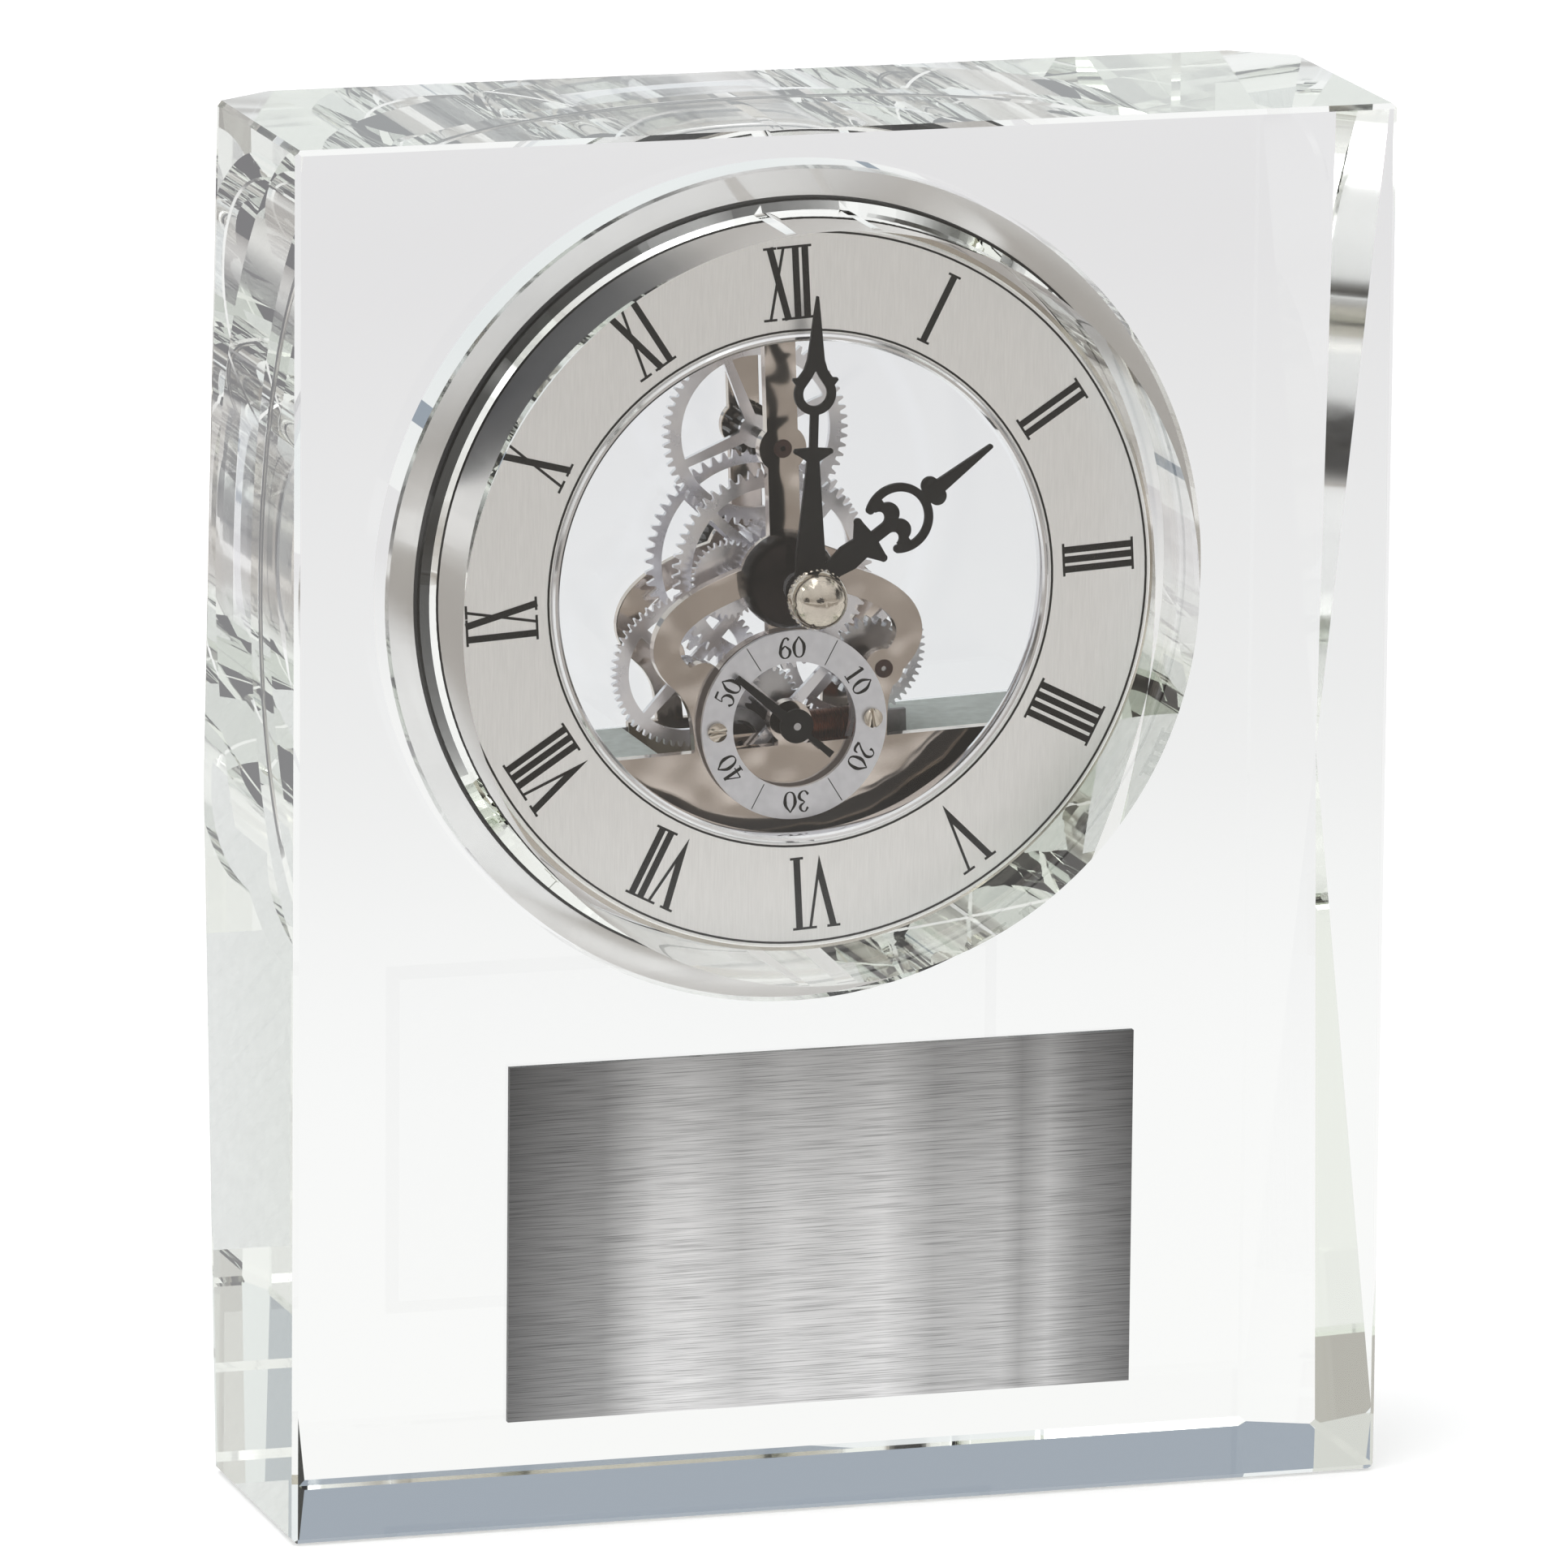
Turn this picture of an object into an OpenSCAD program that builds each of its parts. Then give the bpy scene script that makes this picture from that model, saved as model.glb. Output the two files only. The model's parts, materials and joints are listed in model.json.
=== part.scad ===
// Crystal desk clock: a polished crystal block, bored from the back, that holds a
// skeleton quartz movement behind a ring dial. X runs to the right, Y to the back, Z up.
// The origin is the middle of the face that the block stands on.

/* [Crystal block] */
// Width of the block
block_w = 133.5; // [125:0.5:145]
// Height of the block
block_h = 165; // [160:0.5:180]
// Thickness of the block, front to back
block_t = 41; // [40:0.5:44]
// Reach along X of the tilted corner cuts, at the top and the bottom
corner_x = 8.5; // [4:0.5:12]
// Reach along Y of the tilted corner cuts, at the top and the bottom
corner_y = 6; // [3:0.5:10]
// Leg of the fine bevel on the polished edges
edge_bevel = 0.6; // [0.2:0.1:1.2]
// Height of the clock's axis above the desk
axis_z = 106.8; // [98:0.2:108]
// Diameter of the blind bore
bore_d = 90; // [89:0.2:92]
// Solid crystal left in front of the bore
front_wall = 9; // [7:0.5:10]
// Diameter of the counterbore at the back
step_d = 100.4; // [100.2:0.1:101]
// Depth of the counterbore at the back
step_deep = 8; // [7.5:0.1:8.5]

/* [Name plate] */
// Width of the blank name plate
plate_w = 76.4; // [60:0.2:90]
// Height of the blank name plate
plate_h = 42.6; // [30:0.5:50]
// Thickness of the name plate
plate_t = 0.8; // [0.5:0.1:1.5]
// Centre of the plate to the right of the middle
plate_x = -2.8; // [-6:0.1:6]
// Centre of the plate above the desk
plate_z = 34.6; // [28:0.2:38]

/* [Clock] */
// Air between the end of the bore and the dial
recess = 13; // [12.5:0.1:14]
// Turn of the clock in its bore, anticlockwise from the front
clock_turn = 2.2; // [-5:0.1:5]
// Outer diameter of the ring dial
dial_d = 86.4; // [84:0.2:87]
// Diameter of the open middle of the dial
window_d = 59.2; // [58:0.2:60]
// Height of the numerals
numeral_h = 8.8; // [6:0.1:9]
// Distance from the dial's centre down to the straight top edge of the housing
chord_v = 20; // [19.9:0.1:20.5]

/* [Hands] */
// Minute hand, from the XII, clockwise
minute_angle = 3.3; // [0:0.1:360]
// Hour hand, from the XII, clockwise
hour_angle = 56.6; // [0:0.1:360]
// Seconds hand, from the 60, clockwise
seconds_angle = 312.2; // [0:0.1:360]

/* [Hidden] */
$fn = 96;
fine = 0.01;
reach = 200;

// Colours, as the photograph shows them
crystal = [0.85, 0.93, 0.92, 0.35];
steel = "silver";
nickel = [0.72, 0.68, 0.63];
wheel_silver = [0.84, 0.84, 0.87];
dark_nickel = [0.25, 0.21, 0.18];
satin = [0.80, 0.79, 0.76];
ink = [0.12, 0.12, 0.12];
ruby_brown = [0.33, 0.20, 0.17];
copper = [0.72, 0.42, 0.22];
black_abs = [0.10, 0.10, 0.11];
grey_green = [0.62, 0.66, 0.62];

// Depths behind the front of the dial, towards the back
dial_y = -block_t / 2 + front_wall + recess;
dial_t = 1;
front_plate_d = 6;
front_plate_t = 1.6;
rear_plate_d = 21.5;
rear_plate_t = 1.2;
ring_d = 4.4;
ring_t = 0.6;
lens_d = 24;
lens_t = 1.6;
cover_d = 22.8;
cover_t = 2.8;
cover_chord_v = 20.6;
minute_hand_d = -3.35;
hour_hand_d = -1.6;
seconds_hand_d = 3.4;
hand_t = 0.5;

// Radii of the case and its neighbours
case_r = 43.8;
case_bore_r = 42.6;
segment_r = 42.3;
bezel_r = 49.7;
bezel_front_d = block_t / 2 - step_deep + 0.2 - dial_y;
bezel_back_d = 26.6;

// Places of the axes on the movement, right and up from the dial's centre
centre_at = [0, 0];
upper_at = [0, 15.7];
seconds_at = [0, -17.3];
transfer_at = [11.7, -11.9];
reduction_at = [-10.6, -11.6];
rotor_at = [-5, -20.33];
motion_at = [-6, -0.3];
pillar_at = [[0, 33.5], [-13, -26.4], [13.5, -26.4]];
post_at = [[0, 33.5], [-31, -24], [31, -24]];
ring_screw_at = [[-9.6, -17.3], [9.6, -17.3]];

// Tooth counts: the train gears the motor down to the minute hand, the motion work to the hour
seconds_z = 60;
reduction_pinion_z = 12;
reduction_z = 60;
rotor_z = 10;
seconds_pinion_z = 30;
transfer_z = 60;
transfer_pinion_z = 24;
idler_z = 60;
idler_pinion_z = 25;
upper_z = 60;
upper_pinion_z = 12;
centre_z = 60;
cannon_z = 12;
motion_z = 36;
motion_pinion_z = 10;
hour_z = 40;

// Involute tooth proportions, in modules and degrees
pressure_angle = 20;
backlash_share = 0.86;
addendum = 0.88;
dedendum = 1.3;

// Arbors and pivots
arbor_r = 0.6;
pivot_r = 0.3;
pivot_gap = 0.03;
bush_r = 1.1;
centre_r = 0.75;
cannon_r = 1.12;
hour_pipe_r = 1.7;

// Battery compartment in the right lobe of the housing
battery_at = [23.5, -27];
battery_r = 4.75;
battery_t = 3.6;
door_w = 11.4;
door_h = 10.4;
door_travel = 12;
door_d = 24.2;
door_t = 1.2;
rail_t = 0.6;

function dist(a, b) = norm(b - a);
function bearing(a, b) = atan2(b[1] - a[1], b[0] - a[0]);
function module_of(a, b, za, zb) = 2 * dist(a, b) / (za + zb);
function inv_deg(a) = tan(a) * 180 / PI - a;

// Turn of gear b that puts it in mesh with gear a
function mesh_turn(pa, pb, za, turn_a, zb) =
  bearing(pa, pb) + 180 - za / zb * (turn_a - bearing(pa, pb)) - 180 / zb;

// Half angle of a tooth at radius r
function tooth_half(z, m, r) =
  let (base = z * m / 2 * cos(pressure_angle))
  90 / z * backlash_share + inv_deg(pressure_angle)
    - inv_deg(acos(min(1, base / max(r, base))));

// Outline of an involute gear, with its flanks drawn through the given radii
function gear_outline(z, m, turn, steps) =
  let (root = z * m / 2 - dedendum * m, tip = z * m / 2 + addendum * m)
  [for (i = [0:z - 1], side = [-1, 1], k = [0:steps])
    let (share = side < 0 ? k / steps : 1 - k / steps,
         r = root + (tip - root) * share,
         a = turn + i * 360 / z + side * tooth_half(z, m, r))
    [r * cos(a), r * sin(a)]];

// Points of a smooth curve through the given knots
function curve_point(p, i, t) =
  let (a = p[max(i - 1, 0)], b = p[i], c = p[i + 1], d = p[min(i + 2, len(p) - 1)])
  0.5 * (2 * b + (c - a) * t + (2 * a - 5 * b + 4 * c - d) * t * t
    + (3 * b - a - 3 * c + d) * t * t * t);
function curve(p, steps) =
  [for (i = [0:len(p) - 2], k = [0:steps - 1]) curve_point(p, i, k / steps), p[len(p) - 1]];
function side_step(q, i, w) =
  let (a = q[max(i - 1, 0)], b = q[min(i + 1, len(q) - 1)], t = (b - a) / norm(b - a))
  q[i] + w * [-t[1], t[0]];
// Closed outline of a band of half width w along the curve q
function band(q, w) = concat(
  [for (i = [0:len(q) - 1]) side_step(q, i, w)],
  [for (i = [len(q) - 1:-1:0]) side_step(q, i, -w)]);

// Frame of the clock: x right, y behind the dial, z up from the dial's centre
module clock() {
  translate([0, dial_y, axis_z])
    rotate([0, -clock_turn, 0])
      children();
}
// A flat piece from depth d to d + t, drawn as seen from the front
module slab(d, t) {
  translate([0, d + t, 0])
    rotate([90, 0, 0])
      linear_extrude(t)
        children();
}
// A turned piece, drawn as radius against depth
module turned() {
  rotate([-90, 0, 0])
    rotate_extrude()
      children();
}
module rod(d1, d2, r) {
  translate([0, d2, 0])
    rotate([90, 0, 0])
      cylinder(h = d2 - d1, r = r);
}
module at(p) {
  translate([p[0], 0, p[1]])
    children();
}
module at_2d(p) {
  translate([p[0], p[1]])
    children();
}
module disc(p, r) {
  at_2d(p)
    circle(r = r);
}
module box_2d(low, high) {
  at_2d(low)
    square(high - low);
}
module below(v) {
  box_2d([-reach, -reach], [reach, v]);
}
// Signed area of an outline, positive when its points run anticlockwise
function turning(p) = let (n = len(p) - 1)
  [for (i = [0:n]) p[i][0] * p[(i + 1) % (n + 1)][1] - p[(i + 1) % (n + 1)][0] * p[i][1]]
  * [for (i = [0:n]) 1] / 2;
function backwards(p) = [for (i = [len(p) - 1:-1:0]) p[i]];
function flipped(p) = [for (q = p) [-q[0], q[1]]];
// A polygon whose points always run anticlockwise, so that overlapping ones join
module outline(p) {
  polygon(turning(p) > 0 ? p : backwards(p));
}
module both_sides(p) {
  outline(p);
  outline(flipped(p));
}

// Block
// A back edge is cut by two planes that meet it at mid height
module corner_cut(side, end) {
  n = [side / corner_x, 1 / corner_y, end * 2 / block_h];
  length = 0.6 * block_h;
  translate([side * block_w / 2, block_t / 2, block_h / 2])
    rotate([0, acos(n[2] / norm(n)), atan2(n[1], n[0])])
      translate([end > 0 ? -length : 0, -length / 4, 0])
        cube([length, length / 2, length / 4]);
}
module bevel_bar(size, turn) {
  rotate(turn)
    cube(size, center = true);
}
module edge_bevels() {
  s = edge_bevel * sqrt(2);
  for (y = [-1, 1], z = [0, 1])
    translate([0, y * block_t / 2, z * block_h])
      bevel_bar([2 * reach, s, s], [45, 0, 0]);
  for (x = [-1, 1], z = [0, 1])
    translate([x * block_w / 2, 0, z * block_h])
      bevel_bar([s, 2 * reach, s], [0, 45, 0]);
  for (x = [-1, 1])
    translate([x * block_w / 2, -block_t / 2, block_h / 2])
      bevel_bar([s, s, 2 * reach], [0, 0, 45]);
}
module crystal_block() {
  color(crystal)
    difference() {
      translate([-block_w / 2, -block_t / 2, 0])
        cube([block_w, block_t, block_h]);
      for (side = [-1, 1], end = [-1, 1])
        corner_cut(side, end);
      edge_bevels();
      translate([0, 0, axis_z]) {
        rod(front_wall - block_t / 2, block_t, bore_d / 2);
        rod(block_t / 2 - step_deep, block_t, step_d / 2);
      }
    }
}
tape_t = 0.2;
module front_sheet(w, h, t, gap) {
  translate([plate_x - w / 2, -block_t / 2 - gap - t, plate_z - h / 2])
    cube([w, t, h]);
}
module name_plate() {
  color(steel)
    front_sheet(plate_w, plate_h, plate_t, tape_t);
}
module plate_tape() {
  color("white")
    front_sheet(plate_w - 3, plate_h - 3, tape_t, 0);
}
module seat_gasket() {
  color(black_abs)
    clock()
      turned()
        polygon([[45.1, bezel_front_d - 0.18], [46.3, bezel_front_d - 0.18],
                 [46.3, bezel_front_d], [45.1, bezel_front_d]]);
}

// Case
module case_ring() {
  color(nickel)
    clock()
      turned()
        polygon([[31.4, dial_t], [case_r, dial_t], [case_r, lens_d - 0.1],
                 [case_bore_r, lens_d - 0.1], [case_bore_r, 2], [31.4, 2]]);
}
module rear_bezel() {
  color(steel)
    clock()
      turned()
        polygon([[case_r + 0.05, bezel_front_d], [bezel_r, bezel_front_d], [bezel_r, 20.2],
                 [49.2, 20.9], [45.8, 25.9], [45, bezel_back_d], [41.5, bezel_back_d],
                 [41.2, 26.3], [41.2, 25.75], [case_r + 0.05, 25.75]]);
}
module rear_lens() {
  color(crystal)
    clock()
      slab(lens_d, lens_t)
        difference() {
          circle(r = 43.4);
          below(0.3 - cover_chord_v);
          circle(r = 2.6);
        }
}
module dial_plate() {
  color(satin)
    clock()
      turned()
        polygon([[30.62, 0.1], [30.72, 0], [dial_d / 2 - 0.2, 0], [dial_d / 2, 0.2],
                 [dial_d / 2, dial_t], [30.62, dial_t]]);
}
module dial_rim() {
  r = window_d / 2;
  color(steel)
    clock()
      turned()
        polygon([[r, 0.2], [r + 0.1, -0.2], [r + 0.35, -0.42], [r + 0.65, -0.42],
                 [r + 0.9, -0.2], [r + 1, 0.1], [r + 1, dial_t], [r + 1.7, dial_t],
                 [r + 1.7, 1.6], [r, 1.6]]);
}

// Roman numerals, drawn as thick and thin strokes with serifs
thick = 0.8;
thin = 0.32;
serif_w = 1.6;
serif_t = 0.28;
numeral_r = 36.7;
markings_turn = 1;
hour_letters = ["I", "II", "III", "IIII", "V", "VI", "VII", "VIII", "IX", "X", "XI", "XII"];
// Step from one I to the next, and half the width of a V, by the number of letters
i_step = [1.33, 1.33, 1.17, 1.2];
v_half = [1.55, 1.45, 1.2, 1.2];
// Half the width of an X at its outer and inner ends
x_outer = 0.85;
x_inner = 1.1;
module stroke(a, b, w) {
  t = (b - a) / norm(b - a);
  s = [-t[1], t[0]] * w / 2;
  outline([a + s, a - s, b - s, b + s]);
}
module serif(x, outer) {
  h = numeral_h / 2;
  box_2d([x - serif_w / 2, outer ? h - serif_t : -h],
         [x + serif_w / 2, outer ? h : serif_t - h]);
}
module numeral_i(x) {
  box_2d([x - thick / 2, -numeral_h / 2], [x + thick / 2, numeral_h / 2]);
  serif(x, true);
  serif(x, false);
}
// Two legs that meet in a point: a triangle less the one that the legs leave open
module numeral_v(x, half) {
  h = numeral_h / 2;
  left = half + thick / 2;
  right = half + thin / 2;
  share = (2 * half - (thick + thin) / 2) / (2 * half + (thick + thin) / 2);
  at_2d([x, 0])
    difference() {
      outline([[-left, h], [right, h], [0, -h]]);
      outline([[thick - left, h + fine], [right - thin, h + fine],
               [thick - left * (1 - share), h - numeral_h * share]]);
    }
  serif(x - half, true);
  serif(x + half, true);
}
module numeral_x(x, outer_serifs) {
  h = numeral_h / 2;
  stroke([x - x_outer, h], [x + x_inner, -h], thick);
  stroke([x + x_outer, h], [x - x_inner, -h], thin);
  for (side = [-1, 1]) {
    serif(x + side * x_inner, false);
    if (outer_serifs) serif(x + side * x_outer, true);
  }
}
function letter_w(c, n) =
  i_step[n - 1] + (c == "V" ? 2 * v_half[n - 1] : c == "X" ? 2 * x_inner : 0);
function upto(s, n) = n <= 0 ? 0 : letter_w(s[n - 1], len(s)) + upto(s, n - 1);
module numeral(s) {
  n = len(s);
  for (k = [0:n - 1]) {
    x = upto(s, k) + letter_w(s[k], n) / 2 - upto(s, n) / 2;
    if (s[k] == "I") numeral_i(x);
    if (s[k] == "V") numeral_v(x, v_half[n - 1]);
    if (s[k] == "X") numeral_x(x, s == "IX" || s == "XII");
  }
}
module dial_markings() {
  color(ink)
    clock()
      slab(-0.06, 0.06) {
        for (hour = [1:12])
          rotate(markings_turn - 30 * hour)
            translate([0, numeral_r])
              numeral(hour_letters[hour - 1]);
        ring_2d(42.5, 42.75);
        ring_2d(30.85, 31.1);
      }
}
module ring_2d(r1, r2) {
  difference() {
    circle(r = r2);
    circle(r = r1);
  }
}

// Skeleton plates
arm_knots = [[-2.6, 0.6], [-6.7, -0.5], [-11, -2.3], [-13.9, -4.6], [-15, -7.2],
             [-14.3, -9.6], [-12, -12.2], [-10.6, -15.5], [-10.2, -21]];
arm_half_w = 1.6;
module arms() {
  both_sides(band(curve(arm_knots, 4), arm_half_w));
}
module top_bar() {
  box_2d([-1.9, 0], [1.9, 36.5]);
  disc(upper_at, 2.9);
  box_2d([-4, 31.5], [4, 36.5]);
}
module segment_2d(r, v) {
  intersection() {
    circle(r = r);
    below(v);
  }
}
module front_plate_2d() {
  top_bar();
  disc(centre_at, 5.4);
  arms();
  box_2d([-2.4, -8], [2.4, -4]);
  at_2d(seconds_at)
    ring_2d(8.4, 11.2);
  disc(transfer_at, 2.4);
  disc(reduction_at, 2.4);
  segment_2d(segment_r, -chord_v);
  disc(seconds_at, 2.6);
  box_2d([-1.6, -chord_v - 1], [1.6, seconds_at[1]]);
}
module front_plate() {
  color(nickel)
    clock()
      difference() {
        union() {
          slab(front_plate_d, front_plate_t)
            front_plate_2d();
          for (p = ring_screw_at)
            at(p)
              rod(ring_d + ring_t, front_plate_d + 0.2, 1.2);
        }
        rod(0, 10, hour_pipe_r + 0.1);
        for (p = [upper_at, transfer_at])
          at(p)
            rod(0, 10, bush_r);
        at(seconds_at)
          rod(0, 10, 0.5);
        at(reduction_at)
          rod(front_plate_d + 0.6, 10, pivot_r + pivot_gap);
        at(motion_at)
          rod(front_plate_d + 0.6, 10, 0.4);
        for (p = ring_screw_at)
          at(p)
            rod(0, front_plate_d + 1.2, 0.5);
      }
}
module rear_plate_2d() {
  top_bar();
  disc(centre_at, 5);
  arms();
  disc(transfer_at, 2.4);
  disc(reduction_at, 2.4);
  disc(seconds_at, 2.6);
  disc(rotor_at, 2);
  box_2d([-15.5, -29], [15.8, -19.2]);
}
module rear_plate() {
  color(nickel)
    clock()
      difference() {
        slab(rear_plate_d, rear_plate_t)
          rear_plate_2d();
        rod(20, 24, 1.6);
        for (p = [upper_at, transfer_at, reduction_at, seconds_at, rotor_at])
          at(p)
            rod(20, 24, bush_r);
        for (p = pillar_at)
          at(p)
            rod(20, 24, 0.75);
      }
}
module dial_posts() {
  color(nickel)
    clock()
      for (p = post_at)
        at(p)
          rod(2, front_plate_d, 1.5);
}
module plate_pillars() {
  color(nickel)
    clock()
      for (p = pillar_at)
        at(p)
          difference() {
            rod(front_plate_d + front_plate_t, rear_plate_d, 1.6);
            rod(18, rear_plate_d + 1, 0.75);
          }
}
module slotted_head(d, t, r, turn) {
  difference() {
    rod(d, d + t, r);
    rotate([0, turn, 0])
      translate([-r - 1, d - 0.5 + (d > 10 ? t : 0), -0.16])
        cube([2 * r + 2, 0.8, 0.32]);
  }
}
module pillar_screws() {
  color(steel)
    clock()
      for (p = pillar_at)
        at(p) {
          slotted_head(rear_plate_d + rear_plate_t, 0.8, 1.7, 20);
          rod(18.5, rear_plate_d + rear_plate_t + 0.1, 0.75);
        }
}
module centre_boss() {
  color(dark_nickel)
    clock()
      turned()
        polygon([[1.85, front_plate_d], [5.7, front_plate_d], [5.7, 4.6], [5.45, 3.6],
                 [4.8, 2.6], [3.8, 1.9], [2.6, 1.45], [1.85, 1.3]]);
}
module bush(d1, d2, r, bore) {
  difference() {
    rod(d1, d2, r);
    rod(d1 - 1, d2 + 1, bore);
  }
}
module front_bushes() {
  color(ruby_brown)
    clock()
      for (p = [upper_at, transfer_at])
        at(p)
          bush(front_plate_d - 0.1, front_plate_d + front_plate_t, bush_r, pivot_r + pivot_gap);
}
module rear_bushes() {
  color(ruby_brown)
    clock() {
      bush(rear_plate_d, rear_plate_d + 1.3, 1.6, centre_r + 0.05);
      for (p = [upper_at, transfer_at, reduction_at, seconds_at, rotor_at])
        at(p)
          bush(rear_plate_d, rear_plate_d + 1.3, bush_r, pivot_r + pivot_gap);
    }
}
module seconds_ring() {
  color(satin)
    clock()
      at(seconds_at)
        difference() {
          slab(ring_d, ring_t)
            ring_2d(7.6, 11.4);
          for (x = [-9.6, 9.6])
            translate([x, 0, 0])
              rod(0, 10, 0.5);
        }
}
module ring_screws() {
  color(steel)
    clock()
      for (k = [0, 1])
        at(ring_screw_at[k]) {
          slotted_head(ring_d - 0.55, 0.55, 1.15, k == 0 ? 6 : 84);
          rod(ring_d - 0.1, front_plate_d + 1.2, 0.5);
        }
}

// Housing with the motor and the battery
recess_low = [-16, -29.5];
recess_high = [16.3, 0];
wall = 1;
housing_d = front_plate_d + front_plate_t + 0.1;
module housing_2d(r, v, grow) {
  difference() {
    segment_2d(r, v);
    box_2d(recess_low - [grow, grow], recess_high + [grow, 0]);
  }
}
module motor_housing() {
  color(grey_green)
    clock()
      difference() {
        slab(housing_d, rear_plate_d + rear_plate_t - housing_d)
          housing_2d(segment_r, -chord_v, 0);
        slab(housing_d + 0.8, 20)
          housing_2d(segment_r - wall, -chord_v - wall, wall);
      }
}
module door_channel(half_h) {
  box_2d(battery_at - [door_w / 2 + door_travel + 0.3, half_h],
         [reach, battery_at[1] + half_h]);
}
module door_2d(half_h) {
  intersection() {
    box_2d(battery_at - [door_w / 2, half_h], battery_at + [door_w / 2, half_h]);
    circle(r = 40.6);
  }
}
module housing_cover() {
  color(black_abs)
    clock()
      difference() {
        slab(cover_d, cover_t)
          segment_2d(segment_r, -cover_chord_v);
        slab(door_d, rail_t + 0.2)
          door_channel(door_h / 2 + 0.2);
        slab(door_d, 5)
          door_channel(door_h / 2 - 0.8);
        at(battery_at)
          rod(20, 30, battery_r + 0.3);
        for (p = pillar_at)
          at(p)
            rod(cover_d - 1, cover_d + 1, 2);
      }
}
module battery_door() {
  color(black_abs)
    clock()
      difference() {
        union() {
          slab(door_d + 0.1, rail_t)
            door_2d(door_h / 2);
          slab(door_d + 0.1, door_t)
            door_2d(door_h / 2 - 1);
        }
        for (k = [-2:2])
          translate([battery_at[0] + k * 1.2, door_d + 0.1 + door_t, battery_at[1]])
            cube([0.5, 0.6, door_h - 4], center = true);
      }
}
module battery() {
  color(steel)
    clock()
      at(battery_at)
        turned()
          polygon([[0, 18.9], [battery_r, 18.9], [battery_r, 22.2], [battery_r - 0.3, 22.5],
                   [0, 22.5]]);
}
module battery_contacts() {
  color([0.8, 0.7, 0.45])
    clock()
      at(battery_at) {
        slab(18.3, 0.5)
          box_2d([-2, -4.2], [2, 4.2]);
        translate([-battery_r - 0.55, 18.3, -2])
          cube([0.4, 4.2, 4]);
      }
}
module circuit_board() {
  color("darkgreen")
    clock()
      slab(12, 1)
        difference() {
          box_2d([-29, -28.5], [-18, -21.5]);
          disc([-27.5, -23], 0.8);
        }
}
module quartz_crystal() {
  color(steel)
    clock()
      translate([-26.5, 14.1, -26.6])
        rotate([0, 90, 0])
          cylinder(h = 6, r = 1);
}
coil_v = -19.9;
coil_d = 12.6;
coil_from = 3.8;
coil_length = 8.8;
coil_bore_r = 1.3;
flange_t = 0.6;
module stator() {
  color([0.45, 0.45, 0.47])
    clock()
      slab(11.3, 0.8)
        difference() {
          union() {
            disc(rotor_at, 4);
            box_2d([-6, -21.6], [3, -18.2]);
            box_2d([-8, -24.3], [15.9, -22.7]);
            box_2d([13.4, -24.3], [15.9, -18.2]);
            box_2d([-8, -24.3], [-4, -20]);
          }
          disc(rotor_at, 2.6);
          box_2d([-3.1, -22.7], [-2.7, -21.5]);
        }
}
module coil_core() {
  color([0.45, 0.45, 0.47])
    clock()
      translate([2, 12.1, coil_v - 0.8])
        cube([13.8, 1, 1.6]);
}
module along_coil(u, length, r) {
  translate([u, coil_d, coil_v])
    rotate([0, 90, 0])
      cylinder(h = length, r = r);
}
module core_hole() {
  translate([0, 12.1, coil_v - 0.8])
    cube([30, 1, 1.6]);
}
module coil_bobbin() {
  color(black_abs)
    clock()
      difference() {
        union() {
          along_coil(coil_from - flange_t, flange_t, 2.45);
          along_coil(coil_from - fine, coil_length + 2 * fine, coil_bore_r);
          along_coil(coil_from + coil_length, flange_t, 2.45);
        }
        core_hole();
      }
}
module motor_coil() {
  color(copper)
    clock()
      difference() {
        along_coil(coil_from, coil_length, 2.34);
        along_coil(coil_from - 1, coil_length + 2, coil_bore_r);
      }
}
module motor_bridge() {
  color(nickel)
    clock()
      difference() {
        union() {
          slab(10.2, 0.6)
            box_2d([-8.2, -23.5], [-1.1, -19.2]);
          at([-7.6, -22.9])
            rod(10.2, 11.3, 0.6);
          at([-1.7, -20.6])
            rod(10.2, 11.3, 0.6);
        }
        at(rotor_at)
          rod(9, 12, pivot_r + pivot_gap);
      }
}

// Wheels and arbors
module gear(z, m, turn, steps) {
  polygon(gear_outline(z, m, turn, steps));
}
// A wheel with crossings: rim, spokes that taper outwards, and a hub
module crossed_wheel(z, m, turn, rim, hub, bore, first_spoke = 45) {
  spokes = 4;
  inner = z * m / 2 - dedendum * m - rim;
  difference() {
    gear(z, m, turn, 1);
    difference() {
      circle(r = inner);
      circle(r = hub);
      for (k = [0:spokes - 1])
        rotate(first_spoke + 360 / spokes * k)
          polygon([[0, -0.75], [inner + 1, -0.5], [inner + 1, 0.5], [0, 0.75]]);
    }
    circle(r = bore);
  }
}
module plain_arbor(d1, d2, pivot1, pivot2) {
  rod(d1, d2, arbor_r);
  rod(pivot1, d1 + fine, pivot_r);
  rod(d2 - fine, pivot2, pivot_r);
}
pivot_back = rear_plate_d + 1.2;
arbor_back = rear_plate_d - 0.3;

seconds_m = module_of(seconds_at, reduction_at, seconds_z, reduction_pinion_z);
rotor_m = module_of(reduction_at, rotor_at, reduction_z, rotor_z);
transfer_m = module_of(seconds_at, transfer_at, seconds_pinion_z, transfer_z);
idler_m = module_of(transfer_at, centre_at, transfer_pinion_z, idler_z);
upper_m = module_of(centre_at, upper_at, idler_pinion_z, upper_z);
centre_m = module_of(upper_at, centre_at, upper_pinion_z, centre_z);
motion_m = module_of(centre_at, motion_at, cannon_z, motion_z);
hour_m = module_of(motion_at, centre_at, motion_pinion_z, hour_z);

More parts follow.
